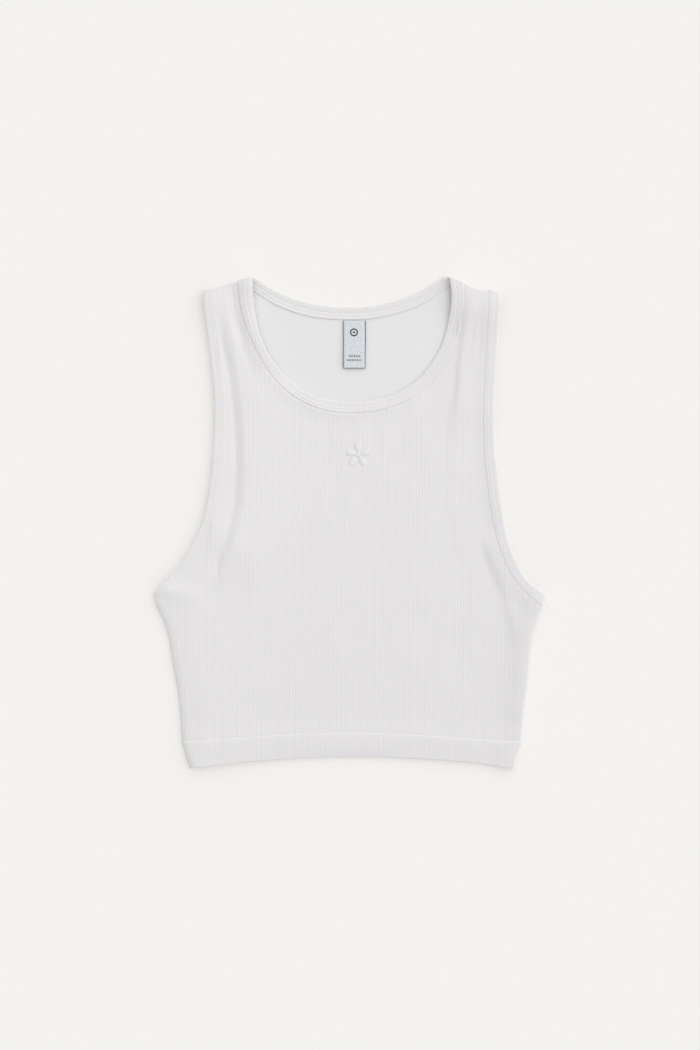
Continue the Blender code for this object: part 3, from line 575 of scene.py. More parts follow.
def loft(xy, away, radius, reach):
    """How far the front's inside stands off the back, beyond the gap between the layers."""
    value = (2 * radius - 2 * WALL - GAP) * bell(np.maximum(away - radius, 0.0), reach)
    value += fold_heights(xy, FOLD_CURVES)
    return 0.5 * (value + np.sqrt(value ** 2 + LOFT_SOFT))


def air(xy, away):
    """Air under the front: none at its edges, and little at the front neck."""
    settled = 1 - SETTLE * bell(nearest_on(FRONT_NECK[1][::NECK_STRIDE], xy)[0], SETTLE_REACH)
    return AIR * settled * ramp(away, *AIR_FROM_FOLD) * ramp(above_hem(xy), *AIR_FROM_HEM)


def fine_form(xy):
    """Creases and slow unevenness of the front that the solids leave out."""
    swell = SWELL * waves(xy, *SWELL_WAVES) + FINE_SWELL * waves(xy * FINE_STRETCH, *FINE_WAVES)
    return swell + (1 + CREASE_UNEVEN * waves(xy, *CREASE_WAVES)) * fold_heights(xy, CREASE_CURVES)


def seam_lift(xy, seams):
    """How far a panel is held up beside the bindings' seams, or down at them, with puckers."""
    each = np.array([nearest_on(seam[::SEAM_STRIDE], xy)[0] for seam in seams])
    away = each.min(0)
    lift = SEAM_LIFT * bell(away, SEAM_LIFT_REACH) - np.array(SEAM_GROOVES) @ bell(each, SEAM_GROOVE_REACH)
    return lift + PUCKER * bell(away, PUCKER_REACH) * waves(xy, *PUCKER_WAVES)


def roll_in(low, high, away, rounding, level):
    """Scale two heights towards a folded edge's level, as a round roll."""
    short = np.clip(1 - (away - ON_FOLD) / rounding, 0.0, 1.0)
    rise = np.sqrt(1 - short ** 2)
    return short, level + (low - level) * rise, level + (high - level) * rise


def rounded_hem(xy, faces):
    """Close the two faces of a hem towards each other at its lower edge."""
    short = np.clip(1 - above_hem(xy) / HEM_ROUND, 0.0, 1.0)
    share = HEM_END + (1 - HEM_END) * np.sqrt(1 - short ** 2)
    middle = (faces[0][:, 2] + faces[1][:, 2]) / 2
    for face in faces:
        face[:, 2] = middle + (face[:, 2] - middle) * share
    return faces


def two_faces(xy, outer, inward, inner):
    """Points of the outer face, and of the inner one, which lies further in at a folded edge."""
    return np.column_stack([xy, outer]), np.column_stack([xy + inward, inner])


def front_walls(xy, wall, lift=0.0, seam=SEAM_HALF):
    """Outer and inner points of a piece on the front."""
    away, normal, (radius, rounding, reach) = fold_place(xy)
    stand = loft(xy, away, radius, reach) + air(xy, away)
    stand += np.maximum(fine_form(xy) * ramp(away, 0.0, FORM_FROM_FOLD), -FORM_DEEPEST * stand)
    under = HEM_EXTRA * ramp(below_stitch(xy), -HEM_EASE, STITCH_HALF)
    low = WALL + under + GAP + stand + lift
    high = low + wall + HEM_RISE * HEM_EXTRA * in_hem(xy) - stitch_groove(xy)
    short, low, high = roll_in(low, high, away, rounding, radius + seam)
    return two_faces(xy, high, normal * (wall * short)[:, None], low)


def back_walls(xy, wall, seam=-SEAM_HALF, floor=0.0):
    """Outer, lower points and inner, upper points of a piece on the back."""
    away, normal, (radius, rounding, _) = fold_place(xy)
    lift = fold_heights(xy, BACK_CURVES) * ramp(away, 0.0, BACK_FROM_FOLD)
    high = wall + in_hem(xy) * HEM_EXTRA + lift
    short, low, high = roll_in(floor + lift, high, away, np.minimum(rounding, radius), radius + seam)
    return two_faces(xy, low, normal * (wall * short)[:, None], high)


def drift(x, y):
    """Sideways drift of a wale in the straps."""
    up = np.clip((y - DRIFT_FROM_Y[0]) / (DRIFT_FROM_Y[1] - DRIFT_FROM_Y[0]), 0.0, DRIFT_PAST)
    return np.sign(x) * STRAP_DRIFT * ramp(np.abs(x), *DRIFT_FROM_X) * up ** DRIFT_POWER


def along_wales(xy):
    """Sideways place of each point in the cut cloth, before the straps drift."""
    u = xy[:, 0].copy()
    for _ in range(DRIFT_ROUNDS):
        u = xy[:, 0] - drift(u, xy[:, 1])
    return u


# Meshes

def add_mesh(name, verts, faces, corner_uv, material):
    """Smooth mesh object in metres, with cloth coordinates for each corner of a face."""
    mesh = bpy.data.meshes.new(name)
    mesh.from_pydata(np.asarray(verts) * MM, [], faces)
    layer = mesh.uv_layers.new(name="Cloth")
    layer.data.foreach_set("uv", np.asarray(corner_uv, np.float32).ravel())
    if signed_volume(mesh) < 0:
        mesh.flip_normals()
    mesh.shade_smooth()
    mesh.materials.append(material)
    return add_object(name, mesh)


def add_object(name, data):
    obj = bpy.data.objects.new(name, data)
    bpy.context.scene.collection.objects.link(obj)
    return obj


def at_corners(faces, values):
    """Values for each corner of each face, from values for each point."""
    return values[np.fromiter((v for face in faces for v in face), int)]


def signed_volume(mesh):
    """Six times the volume within a mesh; negative where its faces point in."""
    mesh.calc_loop_triangles()
    points = np.empty(len(mesh.vertices) * 3, np.float32)
    mesh.vertices.foreach_get("co", points)
    index = np.empty(len(mesh.loop_triangles) * 3, np.int32)
    mesh.loop_triangles.foreach_get("vertices", index)
    a, b, c = points.reshape(-1, 3)[index.reshape(-1, 3)].astype(float).transpose(1, 0, 2)
    return (a * np.cross(b, c)).sum()


def raise_points(obj, verts, shift):
    """Move each point along its normal, but never below the surface that the garment lies on."""
    normals = np.empty(len(verts) * 3, np.float32)
    obj.data.vertex_normals.foreach_get("vector", normals)
    verts = verts + normals.reshape(-1, 3).astype(float) * shift[:, None]
    verts[:, 2] = np.maximum(verts[:, 2], 0.0)
    obj.data.vertices.foreach_set("co", (verts * MM).astype(np.float32).ravel())
    obj.data.update()
    return verts


def corners(a, b, c, d):
    """Faces from four arrays of corners, with triangles where two corners are one point."""
    faces = (closed_face(face) for face in zip(*(np.ravel(side).tolist() for side in (a, b, c, d))))
    return [face for face in faces if len(face) > 2]


def closed_face(loop):
    """A face's corners, each point once."""
    return [v for k, v in enumerate(loop) if v != loop[k - 1]]


def grid_faces(ids, up):
    """Faces of a grid of columns and rows, facing up or down."""
    a, b, c, d = ids[:-1, :-1], ids[1:, :-1], ids[1:, 1:], ids[:-1, 1:]
    return corners(a, b, c, d) if up else corners(a, d, c, b)


def rib_relief(u, v, pitch, uneven, kind):
    """Rounded ribs with narrow grooves, each a little uneven; 1 is their mean height."""
    rib = np.column_stack([np.floor(u / pitch) * RIB_SCALE[0], v * RIB_SCALE[1]])
    return np.abs(np.sin(np.pi * u / pitch)) ** RIB_ROUND * (1 + uneven * waves(rib, *kind))


# Panels

def tucked_seam(seam, edge):
    """A binding's seam, moved a little way under the binding."""
    shares = np.linspace(0.0, 1.0, len(seam))
    at_seam = read_curve(seam, shares)
    across = read_curve(edge, shares) - at_seam
    return at_seam + across * (TUCK / np.linalg.norm(across, axis=1))[:, None]


def half_loop(side, neck_end):
    """One side of a panel's loop: side fold, armhole, and shoulder up to the neck's end."""
    armhole = tucked_seam(*ARMHOLES[side])
    fold = SIDES[side][SIDES[side][:, 1] < armhole[0][1] - ARMHOLE_CLEAR]
    first, last = armhole[-1][0], neck_end[0]
    xs = np.linspace(first, last, int(abs(last - first) / SHOULDER_STEP) + 1)[1:-1]
    return np.vstack([fold, armhole, [on_shoulder(side, x) for x in xs]])


def panel_loop(neck):
    """Closed loop round a panel, whose edges are tucked into the bindings."""
    neck = tucked_seam(*neck)
    return np.vstack([HEM_LINE, half_loop(RIGHT, neck[-1]), neck[::-1], half_loop(LEFT, neck[0])[::-1]])


def cut_columns(loop):
    """Columns along the wales: place across the cloth, lowest y and highest y."""
    flat = np.column_stack([along_wales(loop), loop[:, 1]])
    a, b = flat, np.roll(flat, -1, axis=0)
    step = RIB_PITCH / COLUMNS_PER_RIB
    columns = []
    for k in range(int(np.ceil(flat[:, 0].min() / step)), int(flat[:, 0].max() / step) + 1):
        u = k * step
        hit = (a[:, 0] > u) != (b[:, 0] > u)
        share = (u - a[hit, 0]) / (b[hit, 0] - a[hit, 0])
        ys = a[hit, 1] + share * (b[hit, 1] - a[hit, 1])
        if len(ys) > 1 and np.ptp(ys) > LEAST_COLUMN:
            columns.append((u, ys.min(), ys.max()))
    return np.array(columns)


def column_rows(u, low, high):
    """Heights of a column's points: close at both ends and round the hem's stitching."""
    stitch = float(np.interp(u, *STITCH_LINE.T))
    scale = min(1.0, (high - low) / (ENDS_ROOM * EDGE_OFFSETS[-1]))
    bottom, top = low + scale * EDGE_OFFSETS, high - scale * EDGE_OFFSETS[::-1]
    hem = np.linspace(low + EDGE_OFFSETS[-1], stitch + STITCH_ROWS[0], HEM_ROWS)[1:-1]
    body = np.arange(STITCH_LINE[:, 1].max() + ROWS_ABOVE, ROWS_END_Y, ROW_STEP)
    middle = np.concatenate([np.minimum(hem, stitch + STITCH_ROWS[0]), stitch + STITCH_ROWS, body])
    return np.concatenate([bottom, np.clip(middle, bottom[-1], top[0]), top])


def inside_rows(count):
    """Rows that the plain inner face keeps: a third of them, and more at both ends."""
    middle = range(INNER_ENDS[-1], count - 1 - INNER_ENDS[-1], INNER_STRIDE)
    return sorted({*INNER_ENDS, *middle, *(count - 1 - row for row in INNER_ENDS)})


def kept_points(ys):
    """Point numbers of a grid in which equal heights in a column are one point, and a mask."""
    fresh = np.ones(ys.shape, bool)
    fresh[:, 1:] = np.diff(ys, axis=1) > SAME_HEIGHT
    return np.cumsum(fresh.ravel()).reshape(ys.shape) - 1, fresh


def within_folds(x, y):
    """Keep x between the side folds, up to the underarm tips."""
    low, high = (np.interp(y, SIDES[side][:, 1], SIDES[side][:, 0]) for side in (LEFT, RIGHT))
    return np.where(y > SIDE_ROWS[-1][0], x, np.clip(x, low, high))


def make_panel(name, neck, walls, outer_up, material):
    """Closed thin shell: ribbed outer face, plain inner face, joined round the edge."""
    columns = cut_columns(panel_loop(neck))
    ys = np.array([column_rows(*column) for column in columns])
    us = np.repeat(columns[:, :1], ys.shape[1], axis=1)
    outer_ids, outer_kept = kept_points(ys)
    keep = inside_rows(ys.shape[1])
    inner_ids, inner_kept = kept_points(ys[:, keep])
    inner_ids = inner_ids + outer_kept.sum()
    places, sheets = [], []
    for face, grid_y, grid_u, kept in ((0, ys, us, outer_kept), (1, ys[:, keep], us[:, keep], inner_kept)):
        u, y = grid_u[kept], grid_y[kept]
        xy = np.column_stack([within_folds(u + drift(u, y), y), y])
        places.append((u, y, xy))
        sheets.append(walls(xy)[face])
    verts = np.vstack(sheets)
    top, bottom = (outer_ids, inner_ids) if outer_up else (inner_ids, outer_ids)
    faces = grid_faces(top, True) + grid_faces(bottom, False)
    faces += corners(bottom[:-1, 0], bottom[1:, 0], top[1:, 0], top[:-1, 0])
    faces += corners(bottom[1:, -1], bottom[:-1, -1], top[:-1, -1], top[1:, -1])
    faces += [closed_face([*up.tolist(), *down[::-1].tolist()])
              for up, down in ((top[0], bottom[0]), (bottom[-1], top[-1]))]
    uv = np.vstack([np.column_stack(place[:2]) for place in places])
    obj = add_mesh(name, verts, faces, at_corners(faces, uv), material)
    u, y, xy = places[0]
    fade = ramp(fold_place(xy)[0], *RIB_FROM_FOLD) * ramp(above_hem(xy), *RIB_FROM_HEM)
    fade = fade * (1 - RIB_FADE[0] * bell(below_stitch(xy), RIB_FADE[1]))
    shift = np.zeros(len(verts))
    shift[:len(u)] = RIB_HEIGHT * rib_relief(u, y, RIB_PITCH, RIB_UNEVEN, RIB_WAVES) * fade
    raise_points(obj, verts, shift)
    return obj


def front_panel_walls(xy):
    """A front panel held at its seams, whose hem curls down over a part of its width."""
    outer, inner = front_walls(xy, WALL)
    held = seam_lift(xy, [FRONT_NECK[0], ARMHOLES[LEFT][0], ARMHOLES[RIGHT][0]])
    held *= ramp(fold_place(xy)[0], 0.0, SEAM_FROM_FOLD)
    window = ramp(xy[:, 0], *HEM_CURL_X[:2]) * ramp(xy[:, 0], HEM_CURL_X[3], HEM_CURL_X[2])
    outer[:, 2] += held
    inner[:, 2] += held
    outer[:, 2] -= HEM_CURL * window * ramp(above_hem(xy), HEM_CURL_REACH, 0.0) ** 2
    return rounded_hem(xy, (outer, inner))


def back_panel_walls(xy):
    """A back panel on its ribs' crests, with less of a groove at its hem."""
    outer, inner = back_walls(xy, WALL, floor=RIB_HEIGHT)
    inner[:, 2] += BACK_SWELL * waves(xy, *BACK_WAVES)
    outer[:, 2] += BACK_STITCH_SHARE * stitch_groove(xy)
    return rounded_hem(xy, (outer, inner))


# Bindings

def band_shares(length):
    """Shares of a binding's length, closer where it rolls over its two folds."""
    turn = np.linspace(0.0, np.pi / 2, BAND_TURN)
    near = SHOULDER_ROLL * (1 - np.cos(turn)) / length
    count = int(round(length * (1 - 2 * near[-1]) / BAND_STEP))
    even = np.linspace(near[-1], 1 - near[-1], count + 1)[1:-1]
    return np.concatenate([near, even, 1 - near[::-1]])


def band_section():
    """Points round a binding: measured from, distance or share, place between its faces, offset."""
    needles = [[("share", share, 1.0, off) for off in NEEDLE_OFFSETS] for share in NEEDLE_ROWS]
    plain = [("share", share, 1.0, 0.0) for share in (sum(NEEDLE_ROWS) / 2, (NEEDLE_ROWS[1] + 1) / 2)]
    upper = [("seam", away, through, 0.0) for away, through in SEAM_SECTION]
    upper += [*needles[0], plain[0], *needles[1], plain[1]]
    upper += [("edge", away, through, 0.0) for away, through in EDGE_SECTION]
    lower = [(start, value, (1 - through) * (EDGE_UNDER if start == "edge" else 1), off)
             for start, value, through, off in reversed(upper)]
    return [*upper, ("edge", 0.0, 0.5, 0.0), *lower]


SECTION = band_section()
NEEDLE_POINTS = [k for k, (start, value, _, off) in enumerate(SECTION)
                 if start == "share" and off == 0.0 and value in NEEDLE_ROWS]


def band_side(seam, edge, walls, shares, depth):
    """Points of a binding on the front or the back: station, place round the section."""
    at_seam, at_edge = read_curve(seam, shares), read_curve(edge, shares)
    width = np.linalg.norm(at_edge - at_seam, axis=1)
    across = (at_edge - at_seam) / width[:, None]
    rings = []
    for start, value, through, off in SECTION:
        if start == "seam":
            place = at_seam + across * (value + GAP / 2)
        elif start == "edge":
            place = at_edge - across * value
        else:
            place = at_seam + across * (value * width + off)[:, None]
        outer, inner = walls(place)
        needle = depth * bell(off, NEEDLE_REACH) if start == "share" and value in NEEDLE_ROWS else 0.0
        through = np.clip(through, needle / BINDING_WALL, 1 - needle / BINDING_WALL)
        rings.append(inner + (outer - inner) * through)
    return np.stack(rings, axis=1)


def front_band_walls(xy):
    return front_walls(xy, BINDING_WALL, lift=BINDING_LIFT, seam=0.0)


def front_neck_walls(xy):
    """The front neck's free edge lies down on the back."""
    outer, inner = front_band_walls(xy)
    from_fold = fold_place(xy)[0]
    drop = NECK_SETTLE * ramp(from_fold, *NECK_FROM_FOLD)
    drop += NECK_LEFT_SETTLE * ramp(-xy[:, 0], *NECK_LEFT_X) * ramp(from_fold, *NECK_LEFT_FROM_FOLD)
    drop *= bell(nearest_on(FRONT_NECK[1], xy)[0], NECK_SETTLE_REACH)
    for face in (outer, inner):
        face[:, 2] -= drop
    return outer, inner


def back_band_walls(xy):
    return back_walls(xy, BINDING_WALL, seam=0.0, floor=BAND_FLOOR)


def back_neck_walls(xy):
    """The back neck's seam edge stands up a little on the inside."""
    outer, inner = back_band_walls(xy)
    lift = BACK_NECK_LIFT * bell(nearest_on(BACK_NECK[0], xy)[0], BACK_NECK_REACH)
    lift *= ramp(fold_place(xy)[0], *BACK_NECK_FROM_FOLD)
    inner[:, 2] += lift
    outer[:, 2] += BACK_NECK_UNDER * lift
    return outer, inner


def make_band(name, depth, front, back, material):
    """Closed ring of a folded strip whose ribs run across it, from curves and walls of its sides."""
    front, back = (band_side(*curves, walls, band_shares(length_of(curves[1])), depth)
                   for curves, walls in (front, back))
    rings = np.concatenate([front, back[-2:0:-1]])
    count, width = rings.shape[:2]
    middle = rings.mean(1)
    steps = np.linalg.norm(middle - np.roll(middle, 1, axis=0), axis=1)
    along = np.cumsum(steps) - steps[0]
    total = along[-1] + steps[0]
    whole = round(total / BAND_RIB_PITCH) * BAND_RIB_PITCH
    along = along * (whole / total)
    a = np.arange(count * width).reshape(count, width)
    b, d = np.roll(a, -1, axis=1), np.roll(a, -1, axis=0)
    faces = np.stack([a, b, np.roll(b, -1, axis=0), d], axis=2).reshape(-1, 4)
    across = along_line(rings[0])
    after, beside = np.append(along[1:], whole), np.append(across[1:], across[-1] + GAP)
    corner_u = np.stack([along, along, after, after], axis=1)[:, None]
    corner_v = np.stack([across, beside, beside, across], axis=1)[None]
    uv = np.stack(np.broadcast_arrays(corner_u, corner_v), axis=3).reshape(-1, 2)
    verts = rings.reshape(-1, 3)
    obj = add_mesh(name, verts, faces.tolist(), uv, material)
    ridge = rib_relief(along, 0 * along, BAND_RIB_PITCH, BAND_RIB_UNEVEN, BAND_RIB_WAVES)
    fade = np.array([section_fade(*entry) for entry in SECTION])
    shift = BAND_RIB_HEIGHT * (ridge[:, None] * fade[None]).reshape(-1)
    return obj, raise_points(obj, verts, shift).reshape(rings.shape)


def section_fade(start, value, _, off):
    """How strongly the ribs show at a point of a binding's section: most at its free edge."""
    if start == "seam":
        return SEAM_RIBS * min(1.0, SEAM_RIBS_FROM + value)
    if start == "edge":
        return 1.0
    press = NEEDLE_FADE * bell(off, NEEDLE_REACH) if value in NEEDLE_ROWS else 0.0
    return (SEAM_RIBS + (1 - SEAM_RIBS) * float(ramp(value, *SEAM_RIBS_REACH))) * (1 - press)


# Sewing

def tubes(centre, over, thread):
    """Closed threads from their middle lines: points and faces; over points off the cloth."""
    side = np.cross(over, np.gradient(centre, axis=1))
    side /= np.linalg.norm(side, axis=2)[..., None]
    turn = np.arange(THREAD_SIDES) * 2 * np.pi / THREAD_SIDES
    ring = side[:, :, None] * np.cos(turn)[:, None] + over[:, :, None] * np.sin(turn)[:, None]
    verts = centre[:, :, None] + ring * (THREAD_GIRTH * thread / 2)[None, :, None, None]
    return verts.reshape(-1, 3), tube_faces(len(centre), centre.shape[1], THREAD_SIDES)


def tube_faces(count, rings, sides):
    """Faces of many closed tubes, each of the given rings and sides."""
    ids = np.arange(count * rings * sides).reshape(count, rings, sides)
    a, d = ids[:, :-1], ids[:, 1:]
    walls = np.stack([a, np.roll(a, -1, axis=2), np.roll(d, -1, axis=2), d], axis=3).reshape(-1, 4)
    return walls.tolist() + ids[:, 0, ::-1].tolist() + ids[:, -1].tolist()


def stitch_row(line, up, thread, closed=False):
    """Short threads along a line, each bent down at both ends."""
    if closed:
        line, up = np.vstack([line, line[:1]]), np.vstack([up, up[:1]])
    total = length_of(line)
    count = int(total / (STITCH_LONG + STITCH_GAP))
    starts = (np.arange(count) + STITCH_START) * total / count
    at = ((starts[:, None] + STITCH_SHARES * STITCH_LONG) / total).ravel()
    over = read_curve(line, at, up)
    over /= np.linalg.norm(over, axis=1)[:, None]
    centre = read_curve(line, at) + over * np.tile(STITCH_LIFT, count)[:, None]
    shape = (count, len(STITCH_SHARES), 3)
    return tubes(centre.reshape(shape), over.reshape(shape), thread)


def satin_rows(starts, ends, surface, puff, thread):
    """Threads laid side by side from starts to ends in plan, raised in the middle."""
    shares = STITCH_SHARES[None, :, None]
    plan = starts[:, None] * (1 - shares) + ends[:, None] * shares
    rise = np.sin(np.pi * STITCH_SHARES) ** SATIN_ROUND * np.reshape(puff, (-1, 1))
    height = surface(plan.reshape(-1, 2)).reshape(plan.shape[:2]) + rise
    centre = np.concatenate([plan, height[..., None]], axis=2)
    over = np.zeros_like(centre)
    over[..., 2] = 1.0
    return tubes(centre, over, thread)


def dot_ends(middle, radius, step):
    """Ends of the threads side by side that fill a dot, and their half-lengths."""
    aside = step * np.arange(-KNOT_HALF, KNOT_HALF + 1)
    reach = np.sqrt(radius ** 2 - aside ** 2)
    return middle + np.column_stack([aside, -reach]), middle + np.column_stack([aside, reach]), reach


def join_rows(name, rows, material):
    """One mesh from several rows of stitches."""
    faces, first = [], 0
    for points, row_faces in rows:
        faces += [[v + first for v in face] for face in row_faces]
        first += len(points)
    verts = np.vstack([points for points, _ in rows])
    verts[:, 2] = np.maximum(verts[:, 2], 0.0)
    return add_mesh(name, verts, faces, at_corners(faces, verts[:, :2]), material)


def band_stitches(name, rings, material):
    """Two needle rows on each face of a binding."""
    rows = []
    for k in NEEDLE_POINTS:
        line = rings[:, k]
        up = line - rings[:, len(SECTION) - 1 - k]
        up /= np.linalg.norm(up, axis=1)[:, None]
        rows.append(stitch_row(line - up * BAND_STITCH_IN, up, BAND_THREAD, closed=True))
    return join_rows(name, rows, material)


def hem_stitches(name, walls, sign, material):
    """One row of stitches in the groove of a hem."""
    x = np.arange(*HEM_STITCHES_X)
    outer = walls(np.column_stack([x, np.interp(x, *STITCH_LINE.T)]))[0]
    outer[:, 2] += sign * HEM_STITCH_UP
    up = np.tile([0.0, 0.0, float(sign)], (len(x), 1))
    return join_rows(name, [stitch_row(outer, up, THREAD)], material)


def petal_half():
    """Places of a petal's threads along it, and half of each one's length."""
    along = np.arange(PETAL_FROM, PETAL_TO, SATIN_STEP)
    share = (along - PETAL_FROM) / (PETAL_TO - PETAL_FROM)
    slope, shift, least = PETAL_TIP
    tip = np.sqrt(np.clip(1 - (slope * share - shift) ** 2, least, 1.0))
    foot = np.sin(np.pi * np.clip(share, PETAL_FOOT, 1.0) / (2 * PETAL_WIDEST)) ** PETAL_FOOT_ROUND
    return along, 0.5 * PETAL_WIDE * np.where(share < PETAL_WIDEST, foot, tip)


def make_flower(name, material):
    """Five separate satin-stitch petals round a knot of short threads."""
    rows = []
    along, half = petal_half()
    for k in range(PETALS):
        turn = np.pi / 2 + 2 * np.pi * k / PETALS
        out = np.array([np.cos(turn), np.sin(turn)])
        spine, aside = FLOWER + along[:, None] * out, half[:, None] * np.array([-out[1], out[0]])
        rows.append(satin_rows(spine - aside, spine + aside, chest_surface, PETAL_PUFF * half / half.max(),
                               SATIN_THREAD))
    starts, ends, reach = dot_ends(FLOWER, KNOT_RADIUS, SATIN_STEP)
    rows.append(satin_rows(starts, ends, chest_surface, KNOT_PUFF * reach / KNOT_RADIUS, SATIN_THREAD))
    return join_rows(name, rows, material)


def chest_surface(xy):
    return front_panel_walls(xy)[0][:, 2] + FLOWER_ON_RIBS * RIB_HEIGHT


# Label

def label_base(y):
    """Underside of the label: it lies on the back and lifts towards its lower end."""
    return WALL + GAP + LABEL_CURL * np.clip((LABEL_TOP - y) / LABEL_DROP, 0.0, 1.0) ** 2


def label_surface(xy):
    return label_base(xy[:, 1]) + 2 * LABEL_BEND + LABEL_LAYER + MARKS_UP


def label_line():
    """Middle of the strip from the side: y and z down its top layer, round its fold and up again."""
    low = LABEL_TOP - LABEL_DROP + LABEL_BEND + LABEL_LAYER / 2
    ys = np.linspace(LABEL_TOP, low, LABEL_ROWS)
    under = label_base(ys) + LABEL_LAYER / 2
    turn = np.linspace(0.0, np.pi, LABEL_TURN)[1:-1]
    top = np.column_stack([ys, under + 2 * LABEL_BEND])
    bend = np.column_stack([low - LABEL_BEND * np.sin(turn), under[-1] + LABEL_BEND * (1 + np.cos(turn))])
    return np.vstack([top, bend, np.column_stack([ys, under])[::-1]])


def make_label(name, material):
    """Strip folded double at its lower end, both ends under the neck binding."""
    line = label_line()
    ahead = np.gradient(line, axis=0)
    out = np.column_stack([-ahead[:, 1], ahead[:, 0]]) / np.linalg.norm(ahead, axis=1)[:, None]
    out = out * np.where(out[0, 1] > 0, 1.0, -1.0)
    shift = LABEL_SHIFT * np.linspace(0.0, 1.0, len(line)) ** 2
    wave = LABEL_WAVE * waves(np.column_stack([0 * shift, line[:, 0]]), *LABEL_WAVES)
    shares = np.linspace(0.0, 1.0, LABEL_COLUMNS)
    rings = []
    for side, order in ((0.5, shares), (-0.5, shares[::-1])):
        for share in order:
            x = LABEL_X[0] + shift + LABEL_WIDTH * share + wave * (1 if share > 0.5 else LEFT_WAVE)
            rings.append(np.column_stack([x, line + out * LABEL_LAYER * side]))
    rings = np.stack(rings, axis=1)
    count, around = rings.shape[:2]
    faces = tube_faces(1, count, around)
    along = along_line(line)
    across = LABEL_WIDTH * np.concatenate([shares, shares[::-1]])
    place = np.column_stack([np.tile(across, count), np.repeat(along, around)])
    obj = add_mesh(name, rings.reshape(-1, 3), faces, at_corners(faces, place), material)
    return obj, (LABEL_WIDTH, along[-1])


def make_label_marks(name, material):
    """Plain woven ring with a dot, and two rows of plain ticks."""
    turn = np.linspace(0.0, 2 * np.pi, RING_THREADS, endpoint=False)
    out = np.column_stack([np.cos(turn), np.sin(turn)])
    inner, outer = (LABEL_MARK + radius * out for radius in LABEL_RING)
    starts, ends, _ = dot_ends(LABEL_MARK, LABEL_DOT, LABEL_DOT_STEP)
    rows = [satin_rows(inner, outer, label_surface, RING_PUFF, RING_THREAD),
            satin_rows(starts, ends, label_surface, RING_PUFF, FINE_THREAD)]
    for y, first, last in LABEL_TICKS:
        x = (np.arange(first, last, TICK_STEP)[:, None] + TICK_THREADS).ravel()
        starts, ends = (np.column_stack([x, 0 * x + y + side * TICK_HIGH / 2]) for side in (-1, 1))
        rows.append(satin_rows(starts, ends, label_surface, TICK_PUFF, FINE_THREAD))
    return join_rows(name, rows, material)


# Materials

class Nodes:
    """Short calls that add and link a tree's nodes."""

    def __init__(self, tree):
        self.tree = tree

    def add(self, kind, **inputs):
        node = self.tree.nodes.new(kind)
        for name, value in inputs.items():
            self.set(node, int(name[1:]) if name in ("i0", "i1") else name, value)
        return node

    def set(self, node, name, value):
        socket = name if hasattr(name, "default_value") else node.inputs[name]
        if hasattr(value, "is_output"):
            self.tree.links.new(value, socket)
        else:
            socket.default_value = value

    def math(self, operation, a, b=0.0):
        node = self.add("ShaderNodeMath", i0=a, i1=b)
        node.operation = operation
        return node.outputs[0]

    def cloth(self):
        """Cloth coordinates in millimetres: the pair, across the wales and along them."""
        place = self.add("ShaderNodeUVMap")
        place.uv_map = "Cloth"
        parts = self.add("ShaderNodeSeparateXYZ", Vector=place.outputs["UV"])
        return place.outputs["UV"], parts.outputs["X"], parts.outputs["Y"]

    def stretched(self, value, first, last):
        """0 where the value is first or before, 1 where it is last or past."""
        node = self.add("ShaderNodeMapRange", Value=value)
        self.set(node, "From Min", first)
        self.set(node, "From Max", last)
        return node.outputs["Result"]

    def blended(self, share, first, second):
        """A mix of two colours; each is three numbers or another node's colour."""
        mix = self.add("ShaderNodeMix")
        mix.data_type = "RGBA"
        self.set(mix, "Factor", share)
        for socket, value in zip([s for s in mix.inputs if s.type == "RGBA"], (first, second)):
            self.set(mix, socket, value if hasattr(value, "is_output") else (*value, 1.0))
        return next(s for s in mix.outputs if s.type == "RGBA")

    def mottled(self, place, colour, scale, amount):
        """A colour that varies over the cloth, by up to the given share."""
        noise = self.add("ShaderNodeTexNoise", Vector=place, Scale=scale, Detail=MOTTLE_DETAIL)
        spread = self.stretched(noise.outputs["Fac"], *MOTTLE_SPREAD)
        dark = [part * (1 - amount) for part in colour]
        light = [min(1.0, part * (1 + amount)) for part in colour]
        return self.blended(spread, dark, light)

    def bump(self, shader, height, strength, distance):
        node = self.add("ShaderNodeBump", Strength=strength, Distance=distance, Height=height)
        self.set(shader, "Normal", node.outputs["Normal"])


def new_material(name, colour, roughness, sheen):
    """A cloth material, its shader and its nodes."""
    material = bpy.data.materials.new(name)
    material.use_nodes = True
    shader = material.node_tree.nodes["Principled BSDF"]
    nodes = Nodes(material.node_tree)
    for socket, value in (("Base Color", (*colour, 1.0)), ("Roughness", roughness), ("Sheen Weight", sheen),
                          ("Sheen Roughness", SHEEN_ROUGHNESS), ("Specular IOR Level", SPECULAR)):
        nodes.set(shader, socket, value)
    return material, shader, nodes


